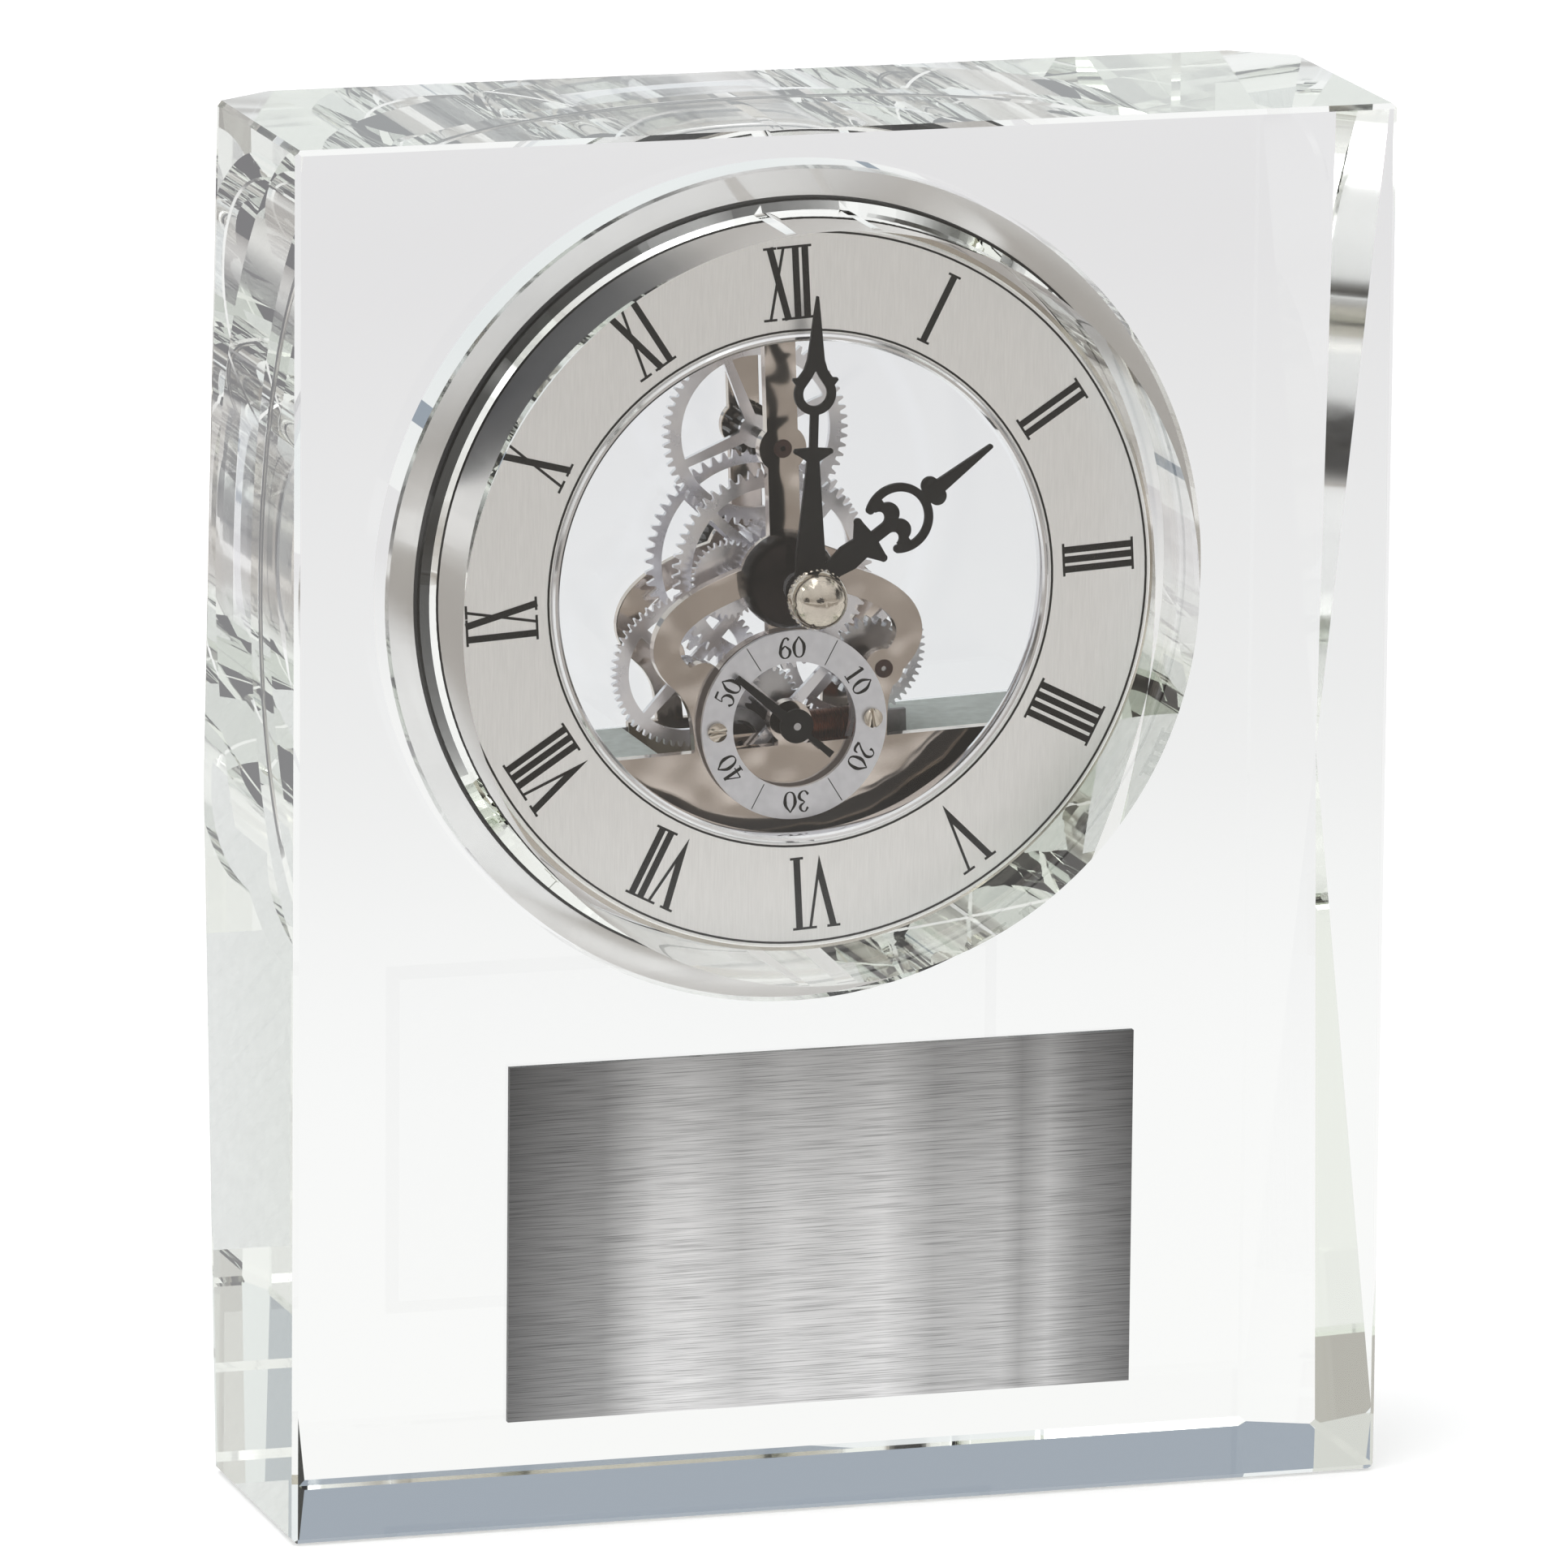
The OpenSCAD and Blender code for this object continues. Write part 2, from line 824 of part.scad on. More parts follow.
module rotor() {
  turn = mesh_turn(reduction_at, rotor_at, reduction_z, 0, rotor_z);
  color(dark_nickel)
    clock()
      at(rotor_at) {
        rod(11.1, 12.4, 2.2);
        slab(12.4, 1.9)
          gear(rotor_z, rotor_m, turn, 4);
        rod(10.9, arbor_back, 0.4);
        rod(10.2, 11, pivot_r);
        rod(arbor_back - fine, pivot_back, pivot_r);
      }
}
module reduction_wheel() {
  color(wheel_silver)
    clock()
      at(reduction_at)
        slab(13, 0.8)
          crossed_wheel(reduction_z, rotor_m, 0, 1.4, 1.8, arbor_r);
}
module reduction_arbor() {
  turn = mesh_turn(seconds_at, reduction_at, seconds_z, 0, reduction_pinion_z);
  color(steel)
    clock()
      at(reduction_at) {
        slab(8.4, 2)
          gear(reduction_pinion_z, seconds_m, turn, 4);
        plain_arbor(8, arbor_back, 6.8, pivot_back);
      }
}
module seconds_wheel() {
  color(wheel_silver)
    clock()
      at(seconds_at)
        slab(9, 0.8)
          crossed_wheel(seconds_z, seconds_m, 0, 1.2, 1.8, arbor_r);
}
module seconds_arbor() {
  color(steel)
    clock()
      at(seconds_at) {
        rod(seconds_hand_d - 0.2, 8.4 + fine, 0.45);
        rod(8.4, arbor_back, arbor_r);
        rod(arbor_back - fine, pivot_back, pivot_r);
        slab(17.7, 1.2)
          gear(seconds_pinion_z, transfer_m, 0, 2);
      }
}
module transfer_wheel() {
  turn = mesh_turn(seconds_at, transfer_at, seconds_pinion_z, 0, transfer_z);
  color(wheel_silver)
    clock()
      at(transfer_at)
        slab(17.9, 0.8)
          crossed_wheel(transfer_z, transfer_m, turn, 0.9, 1.8, arbor_r);
}
module transfer_arbor() {
  color(steel)
    clock()
      at(transfer_at) {
        slab(11.2, 1.6)
          gear(transfer_pinion_z, idler_m, 0, 2);
        plain_arbor(8, arbor_back, front_plate_d + 0.1, pivot_back);
      }
}
module idler_wheel() {
  turn = mesh_turn(transfer_at, centre_at, transfer_pinion_z, 0, idler_z);
  color(wheel_silver)
    clock()
      difference() {
        union() {
          slab(11.6, 0.8)
            crossed_wheel(idler_z, idler_m, turn, 1.4, 3, 0.1);
          slab(12.3, 5.8)
            gear(idler_pinion_z, upper_m, 0, 2);
          rod(11, 18.7, 1.6);
        }
        rod(10, 20, centre_r + 0.05);
      }
}
module upper_wheel() {
  turn = mesh_turn(centre_at, upper_at, idler_pinion_z, 0, upper_z);
  color(wheel_silver)
    clock()
      at(upper_at)
        slab(17, 0.8)
          crossed_wheel(upper_z, upper_m, turn, 1.4, 2, arbor_r, 20);
}
module upper_arbor() {
  color(dark_nickel)
    clock()
      at(upper_at) {
        slab(17.8, 3.1)
          gear(upper_pinion_z, centre_m, 0, 4);
        plain_arbor(8, arbor_back, front_plate_d + 0.1, pivot_back);
      }
}
module centre_wheel() {
  turn = mesh_turn(upper_at, centre_at, upper_pinion_z, 0, centre_z);
  color(wheel_silver)
    clock() {
      slab(19, 0.7)
        crossed_wheel(centre_z, centre_m, turn, 1, 2.4, centre_r);
      bush(19.6, 21.2, 1.9, centre_r);
    }
}
module centre_arbor() {
  color(steel)
    clock()
      rod(-6.6, 25.4, centre_r);
}
module cannon_pinion() {
  color(steel)
    clock()
      difference() {
        union() {
          rod(minute_hand_d, 10.6, cannon_r);
          slab(9.5, 1.1)
            gear(cannon_z, motion_m, 0, 4);
        }
        rod(-7, 12, centre_r);
      }
}
module motion_stud() {
  color(steel)
    clock()
      at(motion_at) {
        rod(front_plate_d + 0.6, 10.7, 0.4);
        rod(10.6, 11, 0.8);
      }
}
module motion_wheel() {
  turn = mesh_turn(centre_at, motion_at, cannon_z, 0, motion_z);
  color(wheel_silver)
    clock()
      at(motion_at)
        difference() {
          union() {
            slab(9.7, 0.7)
              gear(motion_z, motion_m, turn, 1);
            slab(8.2, 1.6)
              gear(motion_pinion_z, hour_m, 0, 4);
          }
          rod(7, 12, 0.45);
        }
}
module hour_wheel() {
  turn = mesh_turn(motion_at, centre_at, motion_pinion_z, 0, hour_z);
  color(wheel_silver)
    clock()
      difference() {
        union() {
          slab(8.5, 0.7)
            gear(hour_z, hour_m, turn, 1);
          rod(hour_hand_d, 9.2, hour_pipe_r);
        }
        rod(-5, 10, cannon_r + 0.06);
      }
}

// Hands, drawn pointing up from their hubs
module minute_outline() {
  tip = 35.5;
  loop_v = 23.95;
  loop_r = 2.55;
  hole_r = 1.49;
  circle(r = 2.1);
  both_sides([[-0.1, 0], [1.8, 0], [1.75, 5], [1.36, 9], [0.75, 15.86], [2.05, 16.7],
              [2.1, 17.38], [0.5, 17.5], [0.5, loop_v - loop_r + 0.3],
              [-0.1, loop_v - loop_r + 0.3]]);
  for (side = [-1, 1])
    disc([side * 2.05, 17.05], 0.35);
  difference() {
    union() {
      disc([0, loop_v], loop_r);
      both_sides([[-0.1, loop_v], [2.3, loop_v + 0.95], [2.8, loop_v + 1.6], [2.7, loop_v + 1.85],
                  [2.1, loop_v + 1.9], [1.45, loop_v + 2.8], [1.05, loop_v + 4],
                  [0.75, loop_v + 6.4], [0.4, loop_v + 9.4], [0.12, tip], [-0.1, tip]]);
    }
    disc([0, loop_v], hole_r);
    both_sides([[-0.1, loop_v + 0.7], [1.31, loop_v + 0.7], [0.45, loop_v + 1.95],
                [0.05, loop_v + 2.7], [-0.1, loop_v + 2.5]]);
  }
}
module hour_outline() {
  tip = 27.9;
  ring_v = 14.1;
  mid_r = 3.7;
  half_w = 0.5;
  open = 53;
  bay = [1.55, 12.1];
  bay_r = 0.8;
  circle(r = 2.3);
  both_sides([[-0.1, 0], [1.15, 0], [1.2, 4.5], [1.6, 6.4], [1.4, 8.3], [2.9, 9.45],
              [2.6, 10.3], [0.75, 10.5], [0.75, bay[1]], [-0.1, bay[1]]]);
  difference() {
    union() {
      difference() {
        disc([0, ring_v], mid_r + half_w);
        disc([0, ring_v], mid_r - half_w);
      }
      intersection() {
        disc([0, ring_v], mid_r);
        box_2d([-mid_r, bay[1] - bay_r], [mid_r, 13.7]);
      }
      for (side = [-1, 1])
        disc([side * 1.25, 13.35], 1.38);
    }
    both_sides([[-0.1, bay[1]], [-0.1, ring_v - 20], [20 * sin(open), ring_v - 20 * cos(open)],
                [(mid_r - half_w) * sin(open), ring_v - (mid_r - half_w) * cos(open)]]);
    for (side = [-1, 1])
      disc([side * bay[0], bay[1]], bay_r);
  }
  box_2d([-0.75, 10.4], [0.75, 13.6]);
  for (side = [-1, 1]) {
    disc([side * mid_r * sin(open), ring_v - mid_r * cos(open)], half_w);
    disc([side * 2.7, 9.86], 0.48);
    disc([side * 0.78, 19.35], 1.1);
  }
  both_sides([[-0.1, ring_v + mid_r], [0.9, ring_v + mid_r], [1.1, 19.5], [0.85, 20.5],
              [0.28, tip], [-0.1, tip]]);
  disc([0, tip], 0.28);
}
module seconds_outline() {
  circle(r = 2.05);
  both_sides([[-0.1, 0], [0.65, 0], [0.38, 9.6], [-0.1, 9.6]]);
  both_sides([[-0.1, 0], [0.3, 0], [0.3, -2], [0.45, -5.7], [-0.1, -5.7]]);
}
module hour_hand() {
  color(ink)
    clock()
      slab(hour_hand_d, hand_t)
        difference() {
          rotate(-hour_angle)
            hour_outline();
          circle(r = hour_pipe_r);
        }
}
module minute_hand() {
  color(ink)
    clock()
      slab(minute_hand_d, hand_t)
        difference() {
          rotate(-minute_angle)
            minute_outline();
          circle(r = cannon_r);
        }
}
module seconds_hand() {
  color(ink)
    clock()
      at(seconds_at)
        slab(seconds_hand_d, 0.4)
          difference() {
            rotate(-seconds_angle)
              seconds_outline();
            circle(r = 0.45);
          }
}
// A domed nut with a fluted rim
module hand_nut() {
  dome_r = 3.5;
  dome_d = -6.6;
  steps = 14;
  flutes = 32;
  color(steel)
    clock()
      difference() {
        union() {
          turned()
            polygon(concat(
              [for (k = [0:steps])
                [dome_r * sin(90 * k / steps), dome_d - dome_r * cos(90 * k / steps)]],
              [[dome_r, dome_d + 0.9], [2.2, -4.6], [2.2, minute_hand_d], [0, minute_hand_d]]));
          slab(dome_d, 0.8)
            fluted(dome_r + 0.15, 0.22, flutes);
        }
        rod(-6.7, 0, centre_r);
      }
}
// A disc whose rim has ridges that rise by the given depth
module fluted(r, deep, ridges) {
  polygon([for (k = [0:2 * ridges - 1])
    (r - (k % 2) * deep) * [cos(180 / ridges * k), sin(180 / ridges * k)]]);
}
module setting_knob() {
  color(black_abs)
    clock()
      difference() {
        union() {
          rod(23.1, 26.2, 2);
          slab(26.1, 3)
            fluted(4.5, 0.3, 30);
        }
        rod(20, 25.5, centre_r);
      }
}

crystal_block();
name_plate();
plate_tape();
seat_gasket();
case_ring();
rear_bezel();
rear_lens();
dial_plate();
dial_rim();
dial_markings();
front_plate();
rear_plate();
dial_posts();
plate_pillars();
pillar_screws();
centre_boss();
front_bushes();
rear_bushes();
seconds_ring();
ring_screws();
motor_housing();
housing_cover();
battery_door();
battery();
battery_contacts();
circuit_board();
quartz_crystal();
stator();
coil_core();
coil_bobbin();
motor_coil();
motor_bridge();
rotor();
reduction_wheel();
reduction_arbor();
seconds_wheel();
seconds_arbor();
transfer_wheel();
transfer_arbor();
idler_wheel();
upper_wheel();
upper_arbor();
centre_wheel();
centre_arbor();
cannon_pinion();
motion_stud();
motion_wheel();
hour_wheel();
hour_hand();
minute_hand();
seconds_hand();
hand_nut();
setting_knob();
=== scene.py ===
# %% [markdown]
# # Crystal desk clock
# The real thing is a block of clear crystal with a skeleton quartz clock set in a bore from the
# back. Every rigid part is already a solid with its true size, so this lesson is about light and
# finish: glass that bends the view, nickel and steel with their own grain, and black hands.

# %% Load the frame
import json
import math

import bpy
from mathutils import Matrix, Vector


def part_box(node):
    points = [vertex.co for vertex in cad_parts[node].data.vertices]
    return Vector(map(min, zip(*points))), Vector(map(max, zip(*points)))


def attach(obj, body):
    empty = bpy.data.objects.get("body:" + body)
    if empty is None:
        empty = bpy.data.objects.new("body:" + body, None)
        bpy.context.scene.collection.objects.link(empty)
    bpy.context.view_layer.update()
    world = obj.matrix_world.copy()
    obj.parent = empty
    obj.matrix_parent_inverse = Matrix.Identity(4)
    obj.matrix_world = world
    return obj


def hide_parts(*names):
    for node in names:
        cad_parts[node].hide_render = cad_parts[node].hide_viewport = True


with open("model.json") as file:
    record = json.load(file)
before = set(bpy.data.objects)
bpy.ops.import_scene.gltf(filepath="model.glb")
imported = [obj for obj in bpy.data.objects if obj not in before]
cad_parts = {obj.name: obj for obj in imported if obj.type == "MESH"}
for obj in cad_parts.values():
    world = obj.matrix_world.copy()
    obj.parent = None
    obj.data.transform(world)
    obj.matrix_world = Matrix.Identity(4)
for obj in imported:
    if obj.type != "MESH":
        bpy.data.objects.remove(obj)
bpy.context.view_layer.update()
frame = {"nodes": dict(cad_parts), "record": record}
nodes = frame["nodes"]
record = frame["record"]
MM = 0.001

# %% [markdown]
# The camera stands 1.8 m away with a long lens, a little to the left and above. Such a view keeps
# the block's edges almost parallel, as in a catalogue picture. The numbers come from fitting the
# block's corners and the dial's circles, so every piece lands where the picture has it.

# %% Camera
YAW, PITCH, ROLL = math.radians(17.09), math.radians(12.35), math.radians(0.54)
DISTANCE = 1.7983
TARGET = Vector((-0.00152, -0.0005, 0.08312))
LENS_IN_MM, SENSOR_IN_MM = 349.96, 36.0
FAR_LIMIT = 50.0

forward = Vector((math.sin(YAW) * math.cos(PITCH), math.cos(YAW) * math.cos(PITCH),
                  -math.sin(PITCH)))
level = Vector((math.cos(YAW), -math.sin(YAW), 0.0))
above = level.cross(forward)
right = level * math.cos(ROLL) + above * math.sin(ROLL)
up = above * math.cos(ROLL) - level * math.sin(ROLL)
place = TARGET - forward * DISTANCE
camera_data = bpy.data.cameras.new("camera")
camera_data.lens = LENS_IN_MM
camera_data.sensor_width = SENSOR_IN_MM
camera_data.clip_end = FAR_LIMIT
camera = bpy.data.objects.new("camera", camera_data)
camera.matrix_world = Matrix((
    (right.x, up.x, -forward.x, place.x),
    (right.y, up.y, -forward.y, place.y),
    (right.z, up.z, -forward.z, place.z),
    (0.0, 0.0, 0.0, 1.0)))
bpy.context.scene.collection.objects.link(camera)
bpy.context.scene.camera = camera
print("camera at", [round(c, 3) for c in place])

# %% [markdown]
# The solids arrive as loose triangles with flat shading, which is right for plates and teeth but
# shows every facet of a turned part, and glass bends the view at each facet. Smoothing has no
# effect on loose triangles, so the first step is a copy whose corners are merged. The solids
# themselves stay as they are.

# %% Merged copies
MERGE_AT = 0.002 * MM
pieces = dict(nodes)


def select_only(piece):
    """Deselects everything else, because an operator acts on all that is selected."""
    bpy.ops.object.select_all(action="DESELECT")
    piece.select_set(True)
    bpy.context.view_layer.objects.active = piece


def merged_copy(piece_name, node_name):
    """A copy of a CAD node with its loose triangles joined at their corners."""
    piece = bpy.data.objects.new(piece_name, nodes[node_name].data.copy())
    bpy.context.scene.collection.objects.link(piece)
    select_only(piece)
    bpy.ops.object.mode_set(mode="EDIT")
    bpy.ops.mesh.select_all(action="SELECT")
    bpy.ops.mesh.remove_doubles(threshold=MERGE_AT)
    bpy.ops.object.mode_set(mode="OBJECT")
    return piece


print("pieces to dress", len(pieces))

# %% [markdown]
# Each part with round or curved faces gets such a copy, shaded round where its faces meet at a
# small angle, and the copy stands for the solid. The record says on which body each piece moves.

# %% Smooth copies of the rounded parts
ROUND_BELOW = math.radians(32)
body_of = {name: body for body, members in record["behaviour"]["bodies"].items()
           for name in members}


def smooth_copy(name):
    """A merged copy of a CAD node, smooth where its faces meet at a small angle."""
    piece = merged_copy("finished_" + name, name)
    bpy.ops.object.shade_smooth_by_angle(angle=ROUND_BELOW)
    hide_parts(name)
    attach(piece, body_of[name])
    pieces[name] = piece
    return len(piece.data.vertices)


ROUNDED = ["rear_lens", "centre_boss", "front_plate", "rear_plate", "dial_posts",
           "plate_pillars", "pillar_screws", "front_bushes", "rear_bushes", "seconds_ring",
           "ring_screws", "motor_housing", "housing_cover", "battery", "quartz_crystal",
           "coil_bobbin", "motor_coil", "centre_arbor", "motion_stud", "hour_hand",
           "minute_hand", "seconds_hand", "hand_nut", "setting_knob"]
merged = {name: smooth_copy(name) for name in ROUNDED}
print("smooth copies", len(merged), "corners", sum(merged.values()))

# %% [markdown]
# Stamped plates are tumbled before they are plated, which breaks their sharp edges. Such an edge
# is a line of light round each plate. A bevel makes it. The flat triangles are joined into whole
# faces first, because a bevel needs clean outlines to follow.

# %% Broken edges of the plates
EDGE_BREAK = 0.14 * MM
FLAT_BELOW = math.radians(0.5)
SHARP_ABOVE = math.radians(50)


def break_edges(name):
    """Bevels the sharp edges of a merged copy."""
    piece = pieces[name]
    select_only(piece)
    bpy.ops.object.mode_set(mode="EDIT")
    bpy.ops.mesh.select_all(action="SELECT")
    bpy.ops.mesh.dissolve_limited(angle_limit=FLAT_BELOW)
    bpy.ops.object.mode_set(mode="OBJECT")
    bevel = piece.modifiers.new("broken_edges", "BEVEL")
    bevel.width = EDGE_BREAK
    bevel.segments = 1
    bevel.limit_method = "ANGLE"
    bevel.angle_limit = SHARP_ABOVE
    bpy.ops.object.modifier_apply(modifier="broken_edges")
    bpy.ops.object.shade_smooth_by_angle(angle=ROUND_BELOW)
    return len(piece.data.polygons)


print("bevelled faces", {name: break_edges(name) for name in ("front_plate", "rear_plate")})

# %% [markdown]
# The block needs more care than a merge. Glass bends the view at every facet of its bore, so a
# bore of a few dozen flats would show as a cut gem. The block is drilled again, as in the
# workshop: a cylinder for a drill and a cone for the countersink, each with 240 sides, cut out of
# the block by a Boolean modifier.

# %% Drills
STEPS = 240
AXIS_HEIGHT = 106.8 * MM
BORE_RADIUS, BORE_END = 45.0 * MM, -11.5 * MM
SEAT_RADIUS, SEAT_END = 50.2 * MM, 12.5 * MM
DRILL_LENGTH = 60.0 * MM
CORNER = 1.0 * MM
ALONG_Y = (math.pi / 2, 0, 0)


def cut_out(target, tool, name):
    """Takes the tool's space out of the target, and puts the tool away."""
    cut = target.modifiers.new(name, "BOOLEAN")
    cut.operation = "DIFFERENCE"
    cut.object = tool
    select_only(target)
    bpy.ops.object.modifier_apply(modifier=name)
    bpy.data.objects.remove(tool)


def drill(target, radius, end):
    """Cuts a cylinder along Y out of the target, from behind up to that end."""
    bpy.ops.object.select_all(action="DESELECT")
    bpy.ops.mesh.primitive_cylinder_add(
        vertices=STEPS, radius=radius, depth=DRILL_LENGTH, rotation=ALONG_Y,
        location=(0, end + DRILL_LENGTH / 2, AXIS_HEIGHT))
    cut_out(target, bpy.context.object, "drill")


def countersink(target):
    """Grinds the corner between the bore and the seat at 45 degrees."""
    bpy.ops.object.select_all(action="DESELECT")
    bpy.ops.mesh.primitive_cone_add(
        vertices=STEPS, radius1=BORE_RADIUS + 2 * CORNER, radius2=BORE_RADIUS - 2 * CORNER,
        depth=4 * CORNER, rotation=ALONG_Y, location=(0, SEAT_END - CORNER, AXIS_HEIGHT))
    cut_out(target, bpy.context.object, "countersink")


print("bore", round(BORE_RADIUS * 2 / MM, 1), "mm, seat", round(SEAT_RADIUS * 2 / MM, 1), "mm")

# %% [markdown]
# The convex hull of the solid's corners is the block before it is drilled. Two holes follow: the
# blind bore for the clock and the wider seat for its bezel. The corner between them is ground,
# and shows in the glass as a thin white line. The limit for smoothing stays at 4 degrees,
# because the two planes of each cut corner of the block meet at less than 7.

# %% Crystal block with a fine bore
BORE_ROUND_BELOW = math.radians(4)

block = merged_copy("drilled_block", "crystal_block")
bpy.ops.object.mode_set(mode="EDIT")
bpy.ops.mesh.select_all(action="SELECT")
bpy.ops.mesh.convex_hull()
bpy.ops.object.mode_set(mode="OBJECT")
drill(block, BORE_RADIUS, BORE_END)
drill(block, SEAT_RADIUS, SEAT_END)
countersink(block)
select_only(block)
bpy.ops.object.shade_smooth_by_angle(angle=BORE_ROUND_BELOW)
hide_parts("crystal_block")
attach(block, "case")
pieces["crystal_block"] = block
low, high = block.bound_box[0], block.bound_box[6]
print("block", [round((b - a) / MM, 2) for a, b in zip(low, high)],
      "faces", len(block.data.polygons))

# %% [markdown]
# The rings round the dial are lathe work: the case of the movement, the bezel at the back, its
# gasket, the dial's own edge and its chrome rim. Their solids have flats that the bore's wall, a
# mirror from inside the glass, would draw out into notches. A lathe needs a section and an axis.
# The section is drawn first: a point, extruded from corner to corner until it closes. The
# bezel's flange is dished by 8 degrees, so the view past the bore and its mirror image show
# different tones.

# %% Sections of the rings
DIAL_Y = 1.5 * MM
# Corners as (radius, depth behind the front of the dial), in mm
SECTIONS = {
    "case_ring": [(31.4, 1), (43.8, 1), (43.8, 23.9), (42.6, 23.9), (42.6, 2), (31.4, 2)],
    "rear_bezel": [(43.85, 11.7), (46.3, 11.66), (49.7, 11.2), (49.7, 20.2), (49.2, 20.9),
                   (45.8, 25.9), (45, 26.6), (41.5, 26.6), (41.2, 26.3), (41.2, 25.75),
                   (43.85, 25.75)],
    "seat_gasket": [(45.1, 11.02), (46.3, 11.02), (46.3, 11.2), (45.1, 11.2)],
    "dial_plate": [(30.62, 0.1), (30.72, 0), (43, 0), (43.2, 0.2), (43.2, 1), (30.62, 1)],
    "dial_rim": [(29.6, 0.2), (29.7, -0.2), (29.95, -0.42), (30.25, -0.42), (30.5, -0.2),
                 (30.6, 0.1), (30.6, 1), (31.3, 1), (31.3, 1.6), (29.6, 1.6)],
}


def draw_section(name):
    """One closed wire through the corners of a section, in the plane of X and Y."""
    corners = [Vector((r * MM, DIAL_Y + d * MM, AXIS_HEIGHT)) for r, d in SECTIONS[name]]
    bpy.ops.object.select_all(action="DESELECT")
    bpy.ops.mesh.primitive_plane_add(size=MM, location=(0, 0, 0), calc_uvs=False)
    section = bpy.context.object
    section.name = section.data.name = "spun_" + name
    bpy.ops.object.mode_set(mode="EDIT")
    bpy.ops.mesh.select_all(action="SELECT")
    bpy.ops.mesh.merge(type="CENTER")
    bpy.ops.transform.translate(value=corners[0])
    for start, end in zip(corners, corners[1:] + corners[:1]):
        bpy.ops.mesh.extrude_vertices_move(TRANSFORM_OT_translate={"value": end - start})
    bpy.ops.mesh.select_all(action="SELECT")
    bpy.ops.mesh.remove_doubles(threshold=MERGE_AT)
    bpy.ops.object.mode_set(mode="OBJECT")
    return section


sections = {name: draw_section(name) for name in SECTIONS}
print("corners", {name: len(section.data.vertices) for name, section in sections.items()})

# %% [markdown]
# Each section is spun about the clock's axis in as many steps as the bore has sides. A full turn
# ends where it began, so any corners left double at the seam are merged. A spin can also leave a
# shape inside out, so its faces are then turned outwards.

# %% Rings, spun from their sections
RING_ROUND_BELOW = math.radians(20)


def spin_ring(name):
    """A closed ring about the clock's axis, spun from its section."""
    ring = sections[name]
    select_only(ring)
    bpy.ops.object.mode_set(mode="EDIT")
    bpy.ops.mesh.select_all(action="SELECT")
    bpy.ops.mesh.spin(steps=STEPS, angle=2 * math.pi, center=(0, 0, AXIS_HEIGHT),
                      axis=(0, 1, 0))
    bpy.ops.mesh.select_all(action="SELECT")
    bpy.ops.mesh.remove_doubles(threshold=MERGE_AT)
    bpy.ops.mesh.normals_make_consistent(inside=False)
    bpy.ops.object.mode_set(mode="OBJECT")
    bpy.ops.object.shade_smooth_by_angle(angle=RING_ROUND_BELOW)
    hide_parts(name)
    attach(ring, body_of[name])
    pieces[name] = ring
    return len(ring.data.polygons)


print("ring faces", {name: spin_ring(name) for name in SECTIONS})

# %% [markdown]
# Materials are built from nodes. One helper adds a node, sets what it is given and links what is
# already a socket. Another turns the hex colours that people read off a screen into the linear
# values that a renderer needs. Noise is the source of every grain here. Its scale is given in
# cycles per millimetre, because a grain is judged under a rule.

# %% Helpers for materials
def linear(hex_colour):
    """sRGB hex text to a linear colour with alpha."""
    parts = [int(hex_colour[i:i + 2], 16) / 255 for i in (1, 3, 5)]
    parts = [c / 12.92 if c <= 0.04045 else ((c + 0.055) / 1.055) ** 2.4 for c in parts]
    return (*parts, 1.0)


def add(tree, kind, inputs=None, stops=(), **settings):
    """A node with its settings. An input that is a socket is linked, and any stops, as
    places and hex colours, go into a colour ramp."""
    node = tree.nodes.new(kind)
    for key, value in settings.items():
        setattr(node, key, value)
    for key, value in (inputs or {}).items():
        if isinstance(value, bpy.types.NodeSocket):
            tree.links.new(value, node.inputs[key])
        else:
            node.inputs[key].default_value = value
    while stops and len(node.color_ramp.elements) < len(stops):
        node.color_ramp.elements.new(0.5)
    for index, (at, colour) in enumerate(stops):
        node.color_ramp.elements[index].position = at
        node.color_ramp.elements[index].color = linear(colour)
    return node


def new_material(name):
    """An empty material and the tree that its nodes go into."""
    material = bpy.data.materials.new(name)
    material.use_nodes = True
    tree = material.node_tree
    tree.nodes.clear()
    return material, tree


def paint(material, *names):
    """Gives pieces, or CAD nodes that have no copy, one material."""
    for name in names:
        data = pieces[name].data
        data.materials.clear()
        data.materials.append(material)


print("mid grey #808080 is", round(linear("#808080")[0], 3), "in linear light")

# %% [markdown]
# These three put nodes together in the ways that the finishes share: a noise that can be
# stretched along an axis, a map from that noise to a useful range, and a mix of two close tones,
# because no real surface has one flat colour.

# %% Noise and mixed tones
# A Mix node has a result for each kind of data, and its third is the colour
MIXED_COLOUR = 2


def stretched_noise(tree, per_mm, detail=3.0):
    """Noise on object coordinates, with its own count of cycles per mm along each axis."""
    coords = add(tree, "ShaderNodeTexCoord").outputs["Object"]
    mapped = add(tree, "ShaderNodeMapping",
                 {"Vector": coords, "Scale": [cycles / MM for cycles in per_mm]})
    return add(tree, "ShaderNodeTexNoise",
               {"Vector": mapped.outputs["Vector"], "Scale": 1.0,
                "Detail": detail}).outputs["Fac"]


def spread(tree, value, low, high):
    """Maps 0.3 to 0.7, where noise mostly lies, to low and high."""
    return add(tree, "ShaderNodeMapRange",
               {"Value": value, "From Min": 0.3, "From Max": 0.7,
                "To Min": low, "To Max": high}).outputs["Result"]


def two_tones(tree, noise, colours):
    """The first colour where the noise is low, the second where it is high."""
    return add(tree, "ShaderNodeMix",
               {"Factor": spread(tree, noise, 0.0, 1.0),
                "A": linear(colours[0]), "B": linear(colours[1])},
               data_type="RGBA").outputs[MIXED_COLOUR]


